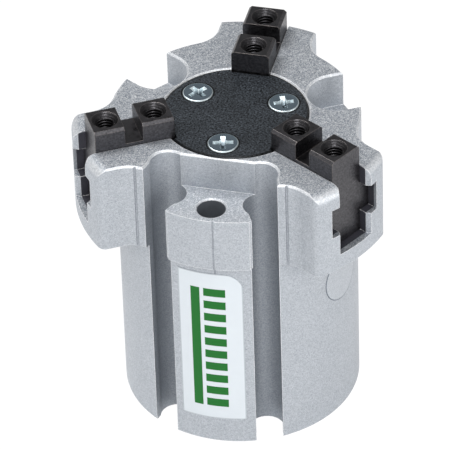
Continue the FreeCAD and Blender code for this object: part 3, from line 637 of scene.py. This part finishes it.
def bright_zinc(colours):
    """Zinc-plated steel: smooth and bluish, with a painted highlight on what is turned from the top
    and painted shade deep in the cross recesses.
    """
    material, tree, shader = new_material("bright_zinc", {"Metallic": 1.0})
    mottle = grain(tree, 0.7, 2.0)
    base = add(
        tree,
        MIX,
        {0: mottle, 6: rgba(dimmed(colours.screw, 0.8)), 7: rgba(colours.screw)},
        data_type="RGBA",
    )
    # Painted highlight on what is turned from the top: the recess walls and the head's rim
    turned = add(tree, RANGE, {"Value": facing_up(tree), "From Min": 0.985, "From Max": 0.93})
    base = add(tree, MIX, {0: turned, 6: base, 7: rgba(colours.screw_recess_highlight)}, data_type="RGBA")
    # Painted shade deep in the cross recess
    height = position(tree)["Z"]
    deep = add(
        tree,
        RANGE,
        {
            "Value": height,
            "From Min": screw_high.z - 0.45 * MM,
            "From Max": screw_high.z - 1.3 * MM,
            "To Max": 0.9,
        },
    )
    base = add(
        tree, MIX, {0: deep, 6: base, 7: rgba(dimmed(colours.screw, 0.35))}, data_type="RGBA"
    )
    smooth = add(tree, RANGE, {"Value": mottle, "To Min": 0.14, "To Max": 0.26})
    dull = add(tree, MATH, {0: turned, 1: 0.24}, operation="MULTIPLY")
    roughness = add(tree, MATH, {0: smooth, 1: dull}, operation="ADD")
    feed(tree, shader, {"Base Color": base, "Roughness": roughness})
    relief(tree, shader, mottle, 0.01 * MM, strength=0.4)
    return material


def plain_metal(name, colour_hex, rough_low, rough_high, depth, width):
    """A bare metal with fine marks of its own width, as left by turning or grinding."""
    material, tree, shader = new_material(name, {"Metallic": 1.0})
    marks = grain(tree, width, 2.0)
    base = linear(colour_hex)
    mixed = add(tree, MIX, {0: marks, 6: rgba(dimmed(base, 0.82)), 7: rgba(base)}, data_type="RGBA")
    roughness = add(tree, RANGE, {"Value": marks, "To Min": rough_low, "To Max": rough_high})
    feed(tree, shader, {"Base Color": mixed, "Roughness": roughness})
    relief(tree, shader, marks, depth * MM, edge=0.08 * MM, strength=0.5)
    return material


def turned_aluminium(colour_hex):
    """Bright aluminium from the lathe: rings about the axis, 0.25 mm apart."""
    material, tree, shader = new_material("turned_aluminium", {"Metallic": 1.0})
    place = add(tree, "ShaderNodeTexCoord")
    rings = add(
        tree,
        "ShaderNodeTexWave",
        {"Vector": place.outputs["Object"], "Scale": 0.314 / (0.25 * MM), "Distortion": 0.4},
        wave_type="RINGS",
        rings_direction="Z",
    ).outputs["Fac"]
    base = linear(colour_hex)
    mixed = add(tree, MIX, {0: rings, 6: rgba(dimmed(base, 0.85)), 7: rgba(base)}, data_type="RGBA")
    roughness = add(tree, RANGE, {"Value": rings, "To Min": 0.22, "To Max": 0.34})
    feed(tree, shader, {"Base Color": mixed, "Roughness": roughness})
    relief(tree, shader, rings, 0.01 * MM, edge=0.08 * MM, strength=0.6)
    return material


def soft_polymer(name, colour_hex, roughness, specular):
    """A rubber or plastic with a fine moulded grain."""
    material, tree, shader = new_material(
        name, {"Metallic": 0.0, "Specular IOR Level": specular}
    )
    marks = grain(tree, 0.5, 3.0)
    base = linear(colour_hex)
    mixed = add(tree, MIX, {0: marks, 6: rgba(dimmed(base, 0.8)), 7: rgba(base)}, data_type="RGBA")
    uneven = add(
        tree, RANGE, {"Value": marks, "To Min": roughness - 0.06, "To Max": roughness + 0.06}
    )
    feed(tree, shader, {"Base Color": mixed, "Roughness": uneven})
    relief(tree, shader, marks, 0.02 * MM, strength=0.4)
    return material


def printed_vinyl(colours):
    """White vinyl: a plain green stripe beside a row of equal green blocks, in a thin grey rim of
    painted shadow.
    """
    material, tree, shader = new_material(
        "printed_vinyl", {"Roughness": 0.5, "Specular IOR Level": 0.25}
    )
    place = position(tree)
    across, up = place["X"], place["Z"]
    left, right = label_low.x, label_high.x
    low, high = label_low.z, label_high.z
    paper = rgba(colours.label)
    base = add(
        tree,
        MIX,
        {0: grain(tree, 2.0), 6: rgba(dimmed(colours.label, 0.96)), 7: paper},
        data_type="RGBA",
    )

    printed = band(tree, up, low + PRINT_START, high - PRINT_END)
    stripe = band(tree, across, left + STRIPE[0], left + STRIPE[1])
    column = band(tree, across, left + BLOCKS[0], left + BLOCKS[1])
    down = add(tree, MATH, {0: high - PRINT_END, 1: up}, operation="SUBTRACT")
    number = add(tree, MATH, {0: down, 1: BLOCK_PITCH}, operation="DIVIDE")
    share = add(tree, MATH, {0: number}, operation="FRACT")
    in_block = add(tree, MATH, {0: share, 1: BLOCK_SHARE}, operation="LESS_THAN")
    blocks = add(tree, MATH, {0: column, 1: in_block}, operation="MULTIPLY")
    either = add(tree, MATH, {0: stripe, 1: blocks}, operation="MAXIMUM")
    ink = add(tree, MATH, {0: printed, 1: either}, operation="MULTIPLY")
    base = add(tree, MIX, {0: ink, 6: base, 7: rgba(colours.label_print)}, data_type="RGBA")

    # Painted shadow: a thin grey rim round the label's edge
    inner_width = band(tree, across, left + LABEL_SHADOW_WIDTH, right - LABEL_SHADOW_WIDTH)
    inner_height = band(tree, up, low + LABEL_SHADOW_WIDTH, high - LABEL_SHADOW_WIDTH)
    inner = add(tree, MATH, {0: inner_width, 1: inner_height}, operation="MULTIPLY")
    base = add(tree, MIX, {0: inner, 6: rgba(colours.label_rim_shadow), 7: base}, data_type="RGBA")
    feed(tree, shader, {"Base Color": base})
    relief(tree, shader, grain(tree, 1.4), 0.01 * MM, strength=0.3)
    return material


def clear_vinyl(colours, centre, radius):
    """A clear film on the aluminium: the same silver, smoother, with a darker cut edge."""
    material, tree, shader = new_material("clear_vinyl", {"Metallic": 0.75})
    dark = rgba(colours.body_grain_and_shade)
    speckle = grain(tree, 0.2, 3.0)
    spots = add(tree, RANGE, {"Value": speckle, "From Min": 0.3, "From Max": 0.7, "To Max": 0.44})
    base = add(tree, MIX, {0: spots, 6: rgba(colours.body), 7: dark}, data_type="RGBA")
    place = add(tree, "ShaderNodeTexCoord").outputs["Object"]
    away = add(tree, VECTOR_MATH, {0: place, 1: tuple(centre)}, operation="DISTANCE")
    rim = add(
        tree,
        RANGE,
        {
            "Value": away,
            "From Min": radius - 0.3 * MM,
            "From Max": radius - 0.15 * MM,
            "To Max": 0.8,
        },
    )
    base = add(tree, MIX, {0: rim, 6: base, 7: dark}, data_type="RGBA")
    roughness = add(tree, RANGE, {"Value": speckle, "To Min": 0.44, "To Max": 0.6})
    feed(tree, shader, {"Base Color": base, "Roughness": roughness})
    relief(tree, shader, speckle, 0.04 * MM, strength=0.8)
    return material


def pale_studio_floor(colours):
    """A pale floor: near white for the eye, with a soft shadow, and mirrored by the sides."""
    material = bpy.data.materials.new("pale_studio_floor")
    material.use_nodes = True
    tree = material.node_tree
    tree.nodes.clear()
    white = rgba(colours.floor)
    lit = add(tree, "ShaderNodeBsdfDiffuse", {"Color": white})
    glow = add(tree, "ShaderNodeEmission", {"Color": white, "Strength": 1.04})
    rays = add(tree, "ShaderNodeLightPath").outputs
    point = add(tree, "ShaderNodeNewGeometry").outputs["Position"]
    away = add(tree, VECTOR_MATH, {0: point}, operation="LENGTH")
    open_floor = add(tree, RANGE, {"Value": away, "From Min": 26.0 * MM, "From Max": 30.0 * MM})
    reflected = add(tree, MATH, {0: rays["Is Glossy Ray"], 1: open_floor}, operation="MULTIPLY")
    reflected = add(tree, MATH, {0: reflected, 1: 0.68}, operation="MULTIPLY")
    seen = add(tree, MATH, {0: rays["Is Camera Ray"], 1: 0.97}, operation="MULTIPLY")
    share = add(tree, MATH, {0: seen, 1: reflected}, operation="MAXIMUM")
    share = add(tree, MATH, {0: share, 1: rays["Is Transmission Ray"]}, operation="MAXIMUM")
    mixed = add(tree, "ShaderNodeMixShader", {0: share, 1: lit, 2: glow})
    add(tree, "ShaderNodeOutputMaterial", {"Surface": mixed})
    return material


def finish_of(node, finishes):
    """The finish of a CAD node, by the material slot that the record gives it."""
    for part in frame["record"]["subparts"]:
        if part["node"] == node:
            return finishes[part["material_slot"]]
    raise RuntimeError("no material slot for " + node)


def link(name, mesh):
    """A new object at the origin with this mesh."""
    made = bpy.data.objects.new(name, mesh)
    bpy.context.scene.collection.objects.link(made)
    return made


def link_mesh(name, mesh):
    """A new object from a bmesh, which is freed."""
    data = bpy.data.meshes.new(name)
    mesh.to_mesh(data)
    mesh.free()
    return link(name, data)


def run_tree(tree, values, name):
    """Evaluates a tree with these named inputs and gives the result as a plain mesh object."""
    carrier = link(name, bpy.data.meshes.new(name + "_carrier"))
    modifier = carrier.modifiers.new("build", "NODES")
    modifier.node_group = tree
    for item in tree.interface.items_tree:
        if item.item_type == "SOCKET" and item.in_out == "INPUT" and item.name in values:
            modifier[item.identifier] = values[item.name]
    graph = bpy.context.evaluated_depsgraph_get()
    mesh = bpy.data.meshes.new_from_object(carrier.evaluated_get(graph), depsgraph=graph)
    carrier.modifiers.remove(modifier)
    carrier.data = mesh
    mesh.name = name
    return carrier


def new_tree(name, inputs):
    """An empty geometry tree with these inputs, given as (name, kind of socket)."""
    tree = bpy.data.node_groups.new(name, "GeometryNodeTree")
    tree.interface.new_socket("Geometry", in_out="OUTPUT", socket_type="NodeSocketGeometry")
    for label, kind in inputs:
        tree.interface.new_socket(label, in_out="INPUT", socket_type=kind)
    return tree, add(tree, "NodeGroupInput").outputs


def coil(tree, height, pitch, start_radius, end_radius, ridge):
    """Turns about the Z axis with a diamond section, so that a sharp edge points inwards."""
    turns = add(tree, MATH, {0: height, 1: pitch}, operation="DIVIDE")
    helix = add(
        tree,
        "GeometryNodeCurveSpiral",
        {
            "Resolution": 40,
            "Rotations": turns,
            "Start Radius": start_radius,
            "End Radius": end_radius,
            "Height": height,
        },
    )
    upright = add(tree, "GeometryNodeSetCurveNormal", {"Curve": helix}, mode="Z_UP")
    profile = add(tree, "GeometryNodeCurvePrimitiveCircle", {"Resolution": 4, "Radius": ridge})
    return add(
        tree,
        "GeometryNodeCurveToMesh",
        {"Curve": upright, "Profile Curve": profile, "Fill Caps": True},
    )


def thread_tree():
    """Coils of a V-shaped thread, one at each point of a row of holes."""
    tree, given = new_tree(
        "thread_coils",
        [
            ("First hole", "NodeSocketVector"),
            ("Step", "NodeSocketVector"),
            ("Holes", "NodeSocketInt"),
            ("Lean", "NodeSocketVector"),
            ("Radius", "NodeSocketFloat"),
            ("Pitch", "NodeSocketFloat"),
            ("Length", "NodeSocketFloat"),
            ("Ridge", "NodeSocketFloat"),
            ("Lead length", "NodeSocketFloat"),
            ("Lead radius", "NodeSocketFloat"),
            ("Finish", "NodeSocketMaterial"),
        ],
    )
    body = coil(
        tree, given["Length"], given["Pitch"], given["Radius"], given["Radius"], given["Ridge"]
    )
    lead_pitch = add(tree, MATH, {0: given["Pitch"], 1: LEAD_PITCH_SHARE}, operation="MULTIPLY")
    lead = coil(
        tree, given["Lead length"], lead_pitch, given["Radius"], given["Lead radius"], LEAD_RIDGE
    )
    raised = add(tree, "ShaderNodeCombineXYZ", {"Z": given["Length"]})
    lead = add(tree, "GeometryNodeTransform", {"Geometry": lead, "Translation": raised})
    both = add(tree, "GeometryNodeJoinGeometry")
    feed(tree, both, {0: body})
    feed(tree, both, {0: lead})
    holes = add(
        tree,
        "GeometryNodeMeshLine",
        {"Count": given["Holes"], "Start Location": given["First hole"], "Offset": given["Step"]},
    )
    placed = add(
        tree,
        "GeometryNodeInstanceOnPoints",
        {"Points": holes, "Instance": both, "Rotation": given["Lean"]},
    )
    real = add(tree, "GeometryNodeRealizeInstances", {0: placed})
    finished = add(tree, "GeometryNodeSetMaterial", {"Geometry": real, "Material": given["Finish"]})
    add(tree, "NodeGroupOutput", {0: finished})
    return tree


def screw_tree():
    """Three plate screws on their circle, each with its own turn."""
    tree, given = new_tree(
        "plate_screw_ring",
        [
            ("Distance", "NodeSocketFloat"),
            ("Screw", "NodeSocketObject"),
            ("Right turn", "NodeSocketFloat"),
            ("Left turn", "NodeSocketFloat"),
            ("Front turn", "NodeSocketFloat"),
            ("Finish", "NodeSocketMaterial"),
        ],
    )
    circle = add(tree, "GeometryNodeMeshCircle", {"Vertices": 3, "Radius": given["Distance"]})
    turned = add(
        tree,
        "GeometryNodeTransform",
        {"Geometry": circle, "Rotation": (0.0, 0.0, math.radians(30.0))},
    )
    choice = add(tree, "GeometryNodeIndexSwitch", data_type="FLOAT")
    choice.index_switch_items.new()
    feed(tree, choice, {0: add(tree, "GeometryNodeInputIndex")})
    for number, side in enumerate(("Right turn", "Left turn", "Front turn")):
        feed(tree, choice, {number + 1: given[side]})
    turn = add(tree, "ShaderNodeCombineXYZ", {"Z": choice})
    screw = add(tree, "GeometryNodeObjectInfo", {"Object": given["Screw"]})
    placed = add(
        tree,
        "GeometryNodeInstanceOnPoints",
        {"Points": turned, "Instance": screw.outputs["Geometry"], "Rotation": turn},
    )
    real = add(tree, "GeometryNodeRealizeInstances", {0: placed})
    finished = add(tree, "GeometryNodeSetMaterial", {"Geometry": real, "Material": given["Finish"]})
    add(tree, "NodeGroupOutput", {0: finished})
    return tree


def lathe(name, profile, segments):
    """A closed turned mesh from (radius, z) points that start and end on the axis."""
    mesh = bmesh.new()
    rings = []
    for radius, z in profile:
        if radius < 1e-9:
            rings.append([mesh.verts.new((0.0, 0.0, z))])
            continue
        ring = []
        for i in range(segments):
            turn = 2 * math.pi * i / segments
            ring.append(mesh.verts.new((radius * math.cos(turn), radius * math.sin(turn), z)))
        rings.append(ring)
    for low, high in zip(rings, rings[1:]):
        for i in range(segments):
            j = (i + 1) % segments
            if len(low) == 1:
                mesh.faces.new((low[0], high[j], high[i]))
            elif len(high) == 1:
                mesh.faces.new((low[i], low[j], high[0]))
            else:
                mesh.faces.new((low[i], low[j], high[j], high[i]))
    bmesh.ops.recalc_face_normals(mesh, faces=mesh.faces[:])
    return link_mesh(name, mesh)


def tapered_bar(name, top, bottom, z_top, z_bottom, turn):
    """A bar that narrows downwards: top and bottom are (length, width)."""
    mesh = bmesh.new()
    rings = []
    for (length, width), z in ((bottom, z_bottom), (top, z_top)):
        corners = [(-1, -1), (1, -1), (1, 1), (-1, 1)]
        rings.append([mesh.verts.new((x * length / 2, y * width / 2, z)) for x, y in corners])
    mesh.faces.new(rings[0][::-1])
    mesh.faces.new(rings[1])
    for i in range(4):
        j = (i + 1) % 4
        mesh.faces.new((rings[0][i], rings[0][j], rings[1][j], rings[1][i]))
    bmesh.ops.rotate(mesh, verts=mesh.verts[:], matrix=Matrix.Rotation(turn, 3, "Z"))
    bmesh.ops.recalc_face_normals(mesh, faces=mesh.faces[:])
    return link_mesh(name, mesh)


def baked(made):
    """Turns an object's modifiers into its plain mesh."""
    graph = bpy.context.evaluated_depsgraph_get()
    mesh = bpy.data.meshes.new_from_object(made.evaluated_get(graph), depsgraph=graph)
    made.modifiers.clear()
    made.data = mesh
    return made


def cross_recess_screw(sizes):
    """One countersunk screw about the origin, head upwards, with a driven cross recess."""
    top = screw_high.z
    shank_radius = sizes.screw_shank_radius
    cone_height = screw_head_radius - shank_radius
    edge = sizes.screw_edge
    profile = [
        (0.0, screw_low.z),
        (shank_radius - 0.3 * MM, screw_low.z),
        (shank_radius, screw_low.z + 0.3 * MM),
        (shank_radius, top - cone_height),
        (screw_head_radius - 0.02 * MM, top - SCREW_RIM - 0.02 * MM),
        (screw_head_radius, top - SCREW_RIM),
        (screw_head_radius - 0.35 * edge, top - 0.35 * edge),
        (screw_head_radius - edge, top),
        (screw_head_radius - edge - 0.7 * MM, top),
        (0.0, top),
    ]
    screw = lathe("screw_source", profile, 72)
    above = top + RECESS_OVERCUT
    below = top - sizes.recess_depth
    wing_top = (sizes.recess_length * 1.1, sizes.recess_width * 1.08)
    wing_bottom = (sizes.recess_length * 0.42, sizes.recess_width * 0.72)
    core = sizes.recess_width * 1.02
    tip = top - sizes.recess_depth * 1.15
    core_profile = [(0.0, tip), (core * 0.5, below), (core, above), (0.0, above)]
    tools = [
        tapered_bar("recess_wing", wing_top, wing_bottom, above, below, 0.0),
        tapered_bar("recess_wing", wing_top, wing_bottom, above, below, math.pi / 2),
        lathe("recess_core", core_profile, 16),
    ]
    for tool in tools:
        cut = screw.modifiers.new("recess", "BOOLEAN")
        cut.operation = "DIFFERENCE"
        cut.solver = "EXACT"
        cut.object = tool
        baked(screw)
        bpy.data.objects.remove(tool)
    rounded = screw.modifiers.new("edges", "BEVEL")
    rounded.width = 0.05 * MM
    rounded.segments = 2
    rounded.limit_method = "ANGLE"
    rounded.angle_limit = math.radians(28.0)
    return baked(screw)


def wrapped_disc(name, radius, direction, height, thickness):
    """A thin round film on the barrel: rings of points wrapped about the axis."""
    mesh = bmesh.new()
    segments, rings = 96, 12
    levels = [(radius * k / rings, thickness) for k in range(1, rings)]
    levels += [(radius - 0.5 * thickness, thickness), (radius, 0.5 * thickness), (radius, 0.0)]

    def on_barrel(across, up, off):
        turn = direction + across / barrel_radius
        reach = barrel_radius + off
        return Vector((reach * math.cos(turn), reach * math.sin(turn), height + up))

    centre = mesh.verts.new(on_barrel(0.0, 0.0, thickness))
    previous = None
    for distance, off in levels:
        ring = []
        for i in range(segments):
            turn = 2 * math.pi * i / segments
            point = on_barrel(distance * math.cos(turn), distance * math.sin(turn), off)
            ring.append(mesh.verts.new(point))
        for i in range(segments):
            j = (i + 1) % segments
            if previous is None:
                mesh.faces.new((centre, ring[i], ring[j]))
            else:
                mesh.faces.new((previous[i], ring[i], ring[j], previous[j]))
        previous = ring
    for face in mesh.faces:
        face.smooth = True
    return link_mesh(name, mesh)


def shade(made, finish, degrees):
    """Gives a piece its finish, and smooth shading across edges below an angle in degrees."""
    made.data.materials.clear()
    made.data.materials.append(finish)
    made.data.shade_smooth()
    made.data.set_sharp_from_angle(angle=math.radians(degrees))
    return made


def photo_camera(stage):
    """The camera: it looks at a point above the base from a given direction, slightly rolled."""
    a, e, r = stage.azimuth, stage.elevation, stage.roll
    back = Vector((math.sin(a) * math.cos(e), -math.cos(a) * math.cos(e), math.sin(e)))
    level = Vector((0.0, 0.0, 1.0)).cross(back).normalized()
    upright = back.cross(level)
    right = level * math.cos(r) + upright * math.sin(r)
    up = upright * math.cos(r) - level * math.sin(r)
    target = Vector((0.0, 0.0, stage.target_height)) + right * stage.target_side
    lens = bpy.data.cameras.new("photo_camera")
    lens.lens = stage.focal_length
    lens.sensor_width = 36.0
    lens.clip_start = 0.01
    lens.clip_end = 50.0
    camera = link("photo_camera", lens)
    camera.matrix_world = Matrix.Translation(target + back * stage.distance) @ Matrix(
        (right, up, back)
    ).transposed().to_4x4()
    return camera


def softboxes(stage):
    """The lamps, each aimed at the middle of the part."""
    for name, place, width, power in LAMPS:
        light = bpy.data.lights.new(name, "AREA")
        light.shape = "SQUARE"
        light.size = width
        light.energy = getattr(stage, power)
        lamp = link(name, light)
        lamp.location = place
        aim = Vector(LAMP_AIM) - Vector(place)
        lamp.rotation_euler = aim.to_track_quat("-Z", "Y").to_euler()


def studio_sky(stage):
    """Light from all round, and a brighter dome that only the eye and reflections see."""
    world = bpy.data.worlds.new("studio")
    world.use_nodes = True
    tree = world.node_tree
    tree.nodes.clear()
    way = add(tree, "ShaderNodeTexCoord").outputs["Generated"]
    parts = add(tree, "ShaderNodeSeparateXYZ", {0: way}).outputs
    height = add(
        tree,
        RANGE,
        {"Value": parts["Z"], "From Min": 0.5, "From Max": 0.95, "To Min": 1.05, "To Max": 0.6},
    )
    depth = add(
        tree,
        RANGE,
        {"Value": parts["Y"], "From Min": -0.4, "From Max": 0.4, "To Min": 0.95, "To Max": 0.43},
    )
    side = add(tree, RANGE, {"Value": parts["X"], "From Min": -0.8, "From Max": 0.8, "To Min": 0.8})
    dome = add(tree, MATH, {0: height, 1: depth}, operation="MULTIPLY")
    dome = add(tree, MATH, {0: dome, 1: side}, operation="MULTIPLY")
    rays = add(tree, "ShaderNodeLightPath").outputs
    backdrop = add(tree, MATH, {0: rays["Is Camera Ray"], 1: 1.1}, operation="MULTIPLY")
    dome = add(tree, MATH, {0: dome, 1: backdrop}, operation="MAXIMUM")
    seen = add(
        tree, MATH, {0: rays["Is Camera Ray"], 1: rays["Is Glossy Ray"]}, operation="MAXIMUM"
    )
    seen = add(tree, MATH, {0: seen, 1: rays["Is Transmission Ray"]}, operation="MAXIMUM")
    strength = add(tree, MIX, {0: seen, 2: stage.sky, 3: dome}, data_type="FLOAT")
    white = (1.0, 1.0, 1.0, 1.0)
    sky = add(tree, "ShaderNodeBackground", {"Color": white, "Strength": strength})
    add(tree, "ShaderNodeOutputWorld", {"Surface": sky})
    return world


def studio_floor(colours):
    """A wide disc just below the part."""
    disc = bmesh.new()
    bmesh.ops.create_circle(disc, cap_ends=True, segments=96, radius=FLOOR_RADIUS)
    floor = link_mesh("studio_floor", disc)
    floor.data.transform(Matrix.Translation((0.0, 0.0, cad_low.z - FLOOR_GAP)))
    floor.data.materials.append(pale_studio_floor(colours))


class GRIPPER_OT_stage(bpy.types.Operator):
    """Makes the camera, the lamps, the sky and the pale floor."""

    bl_idname = "gripper.stage"
    bl_label = "Camera and studio"

    def execute(self, context):
        scene = context.scene
        scene.view_settings.view_transform = "Standard"
        scene.camera = photo_camera(scene.gripper_stage)
        softboxes(scene.gripper_stage)
        scene.world = studio_sky(scene.gripper_stage)
        studio_floor(scene.gripper_colours)
        return {"FINISHED"}


class GRIPPER_OT_finishes(bpy.types.Operator):
    """Gives every solid piece its finish."""

    bl_idname = "gripper.finishes"
    bl_label = "Finishes of the solid pieces"

    def execute(self, context):
        colours = context.scene.gripper_colours
        finishes = {
            "cast_body": blasted_anodised_aluminium(colours),
            "end_plate": coated_steel_plate(colours),
            "zinc_screws": bright_zinc(colours),
            "fingers": blackened_ground_steel(colours, context.scene.gripper_sizes),
            "turned_aluminium": turned_aluminium("#C6CACD"),
            "label": printed_vinyl(colours),
        }
        for slot, values in PLAIN_METALS.items():
            finishes[slot] = plain_metal(*values)
        for slot, values in SOFT_POLYMERS.items():
            finishes[slot] = soft_polymer(*values)
        for name, node in frame["nodes"].items():
            node.material_slots[0].material = finish_of(name, finishes)
        return {"FINISHED"}


class GRIPPER_OT_threads(bpy.types.Operator):
    """Makes the threads in the fingers' holes and in the air ports."""

    bl_idname = "gripper.threads"
    bl_label = "Threads"

    def execute(self, context):
        sizes = context.scene.gripper_sizes
        tree = thread_tree()
        common = {
            "Holes": 2,
            "Radius": sizes.thread_radius,
            "Pitch": sizes.thread_pitch,
            "Ridge": sizes.thread_ridge,
        }
        bottom = finger_high.z - sizes.jaw_thread_top - sizes.jaw_thread_length
        for name, degrees in JAW_DIRECTIONS.items():
            turn = math.radians(degrees)
            outward = Vector((math.cos(turn), math.sin(turn), 0.0))
            first = outward * (finger_end - sizes.jaw_hole_inset)
            first.z = bottom
            values = {
                "First hole": tuple(first),
                "Step": tuple(outward * -sizes.jaw_hole_pitch),
                "Lean": (0.0, 0.0, 0.0),
                "Length": sizes.jaw_thread_length,
                "Lead length": sizes.lead_length,
                "Lead radius": sizes.lead_radius,
                "Finish": bpy.data.materials["blackened_ground_steel"],
                **common,
            }
            coils = run_tree(tree, values, name + "_finger_threads")
            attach(coils, name + "_jaw")
        port_thread_end = barrel_radius - PORT_THREAD_INSET - sizes.port_thread_length
        values = {
            "First hole": (0.0, port_thread_end, port_heights[0]),
            "Step": (0.0, 0.0, port_heights[1] - port_heights[0]),
            "Lean": (math.radians(-90.0), 0.0, 0.0),
            "Length": sizes.port_thread_length,
            "Lead length": 0.5 * sizes.thread_pitch,
            "Lead radius": sizes.thread_radius,
            "Finish": bpy.data.materials["blasted_anodised_aluminium"],
            **common,
        }
        coils = run_tree(tree, values, "air_port_threads")
        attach(coils, "housing")
        return {"FINISHED"}


class GRIPPER_OT_screws(bpy.types.Operator):
    """Makes the three countersunk screws of the end plate."""

    bl_idname = "gripper.screws"
    bl_label = "Plate screws"

    def execute(self, context):
        sizes = context.scene.gripper_sizes
        finish = bpy.data.materials["bright_zinc"]
        source = cross_recess_screw(sizes)
        values = {
            "Distance": screw_distance,
            "Screw": source,
            "Right turn": sizes.right_screw_turn,
            "Left turn": sizes.left_screw_turn,
            "Front turn": sizes.front_screw_turn,
            "Finish": finish,
        }
        screws = run_tree(screw_tree(), values, "plate_screws")
        bpy.data.objects.remove(source)
        shade(screws, finish, 30.0)
        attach(screws, "housing")
        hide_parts("plate_screw_front", "plate_screw_left", "plate_screw_right")
        return {"FINISHED"}


class GRIPPER_OT_sticker(bpy.types.Operator):
    """Makes the clear round sticker on the barrel."""

    bl_idname = "gripper.sticker"
    bl_label = "Round sticker"

    def execute(self, context):
        sizes = context.scene.gripper_sizes
        film = wrapped_disc(
            "round_sticker",
            sizes.sticker_radius,
            sizes.sticker_direction,
            sizes.sticker_height,
            sizes.sticker_thickness,
        )
        turn = sizes.sticker_direction
        centre = Vector((math.cos(turn), math.sin(turn), 0.0)) * barrel_radius
        centre.z = sizes.sticker_height
        film.data.materials.append(
            clear_vinyl(context.scene.gripper_colours, centre, sizes.sticker_radius)
        )
        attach(film, "housing")
        return {"FINISHED"}


class GRIPPER_PT_panel(bpy.types.Panel):
    """Lists the gripper's pieces, sizes and colours."""

    bl_label = "Gripper"
    bl_idname = "GRIPPER_PT_panel"
    bl_space_type = "VIEW_3D"
    bl_region_type = "UI"
    bl_category = "Gripper"

    def draw(self, context):
        for operator in OPERATORS:
            self.layout.operator(operator.bl_idname)
        for place in PLACES:
            group = getattr(context.scene, place)
            box = self.layout.box()
            for name in group.__annotations__:
                box.prop(group, name)


OPERATORS = (
    GRIPPER_OT_stage,
    GRIPPER_OT_finishes,
    GRIPPER_OT_threads,
    GRIPPER_OT_screws,
    GRIPPER_OT_sticker,
)
GROUPS = (GripperSizes, GripperColours, GripperStage)
PLACES = ("gripper_sizes", "gripper_colours", "gripper_stage")


def register():
    """Registers the groups, operators and panel."""
    for made in GROUPS + OPERATORS + (GRIPPER_PT_panel,):
        bpy.utils.register_class(made)
    for place, group in zip(PLACES, GROUPS):
        setattr(bpy.types.Scene, place, bpy.props.PointerProperty(type=group))


def unregister():
    """Removes them again."""
    for place in PLACES:
        delattr(bpy.types.Scene, place)
    for made in reversed(GROUPS + OPERATORS + (GRIPPER_PT_panel,)):
        bpy.utils.unregister_class(made)


def main():
    """Makes everything in order."""
    register()
    bpy.ops.gripper.stage()
    bpy.ops.gripper.finishes()
    bpy.ops.gripper.threads()
    bpy.ops.gripper.screws()
    bpy.ops.gripper.sticker()


if __name__ == "__main__":
    main()
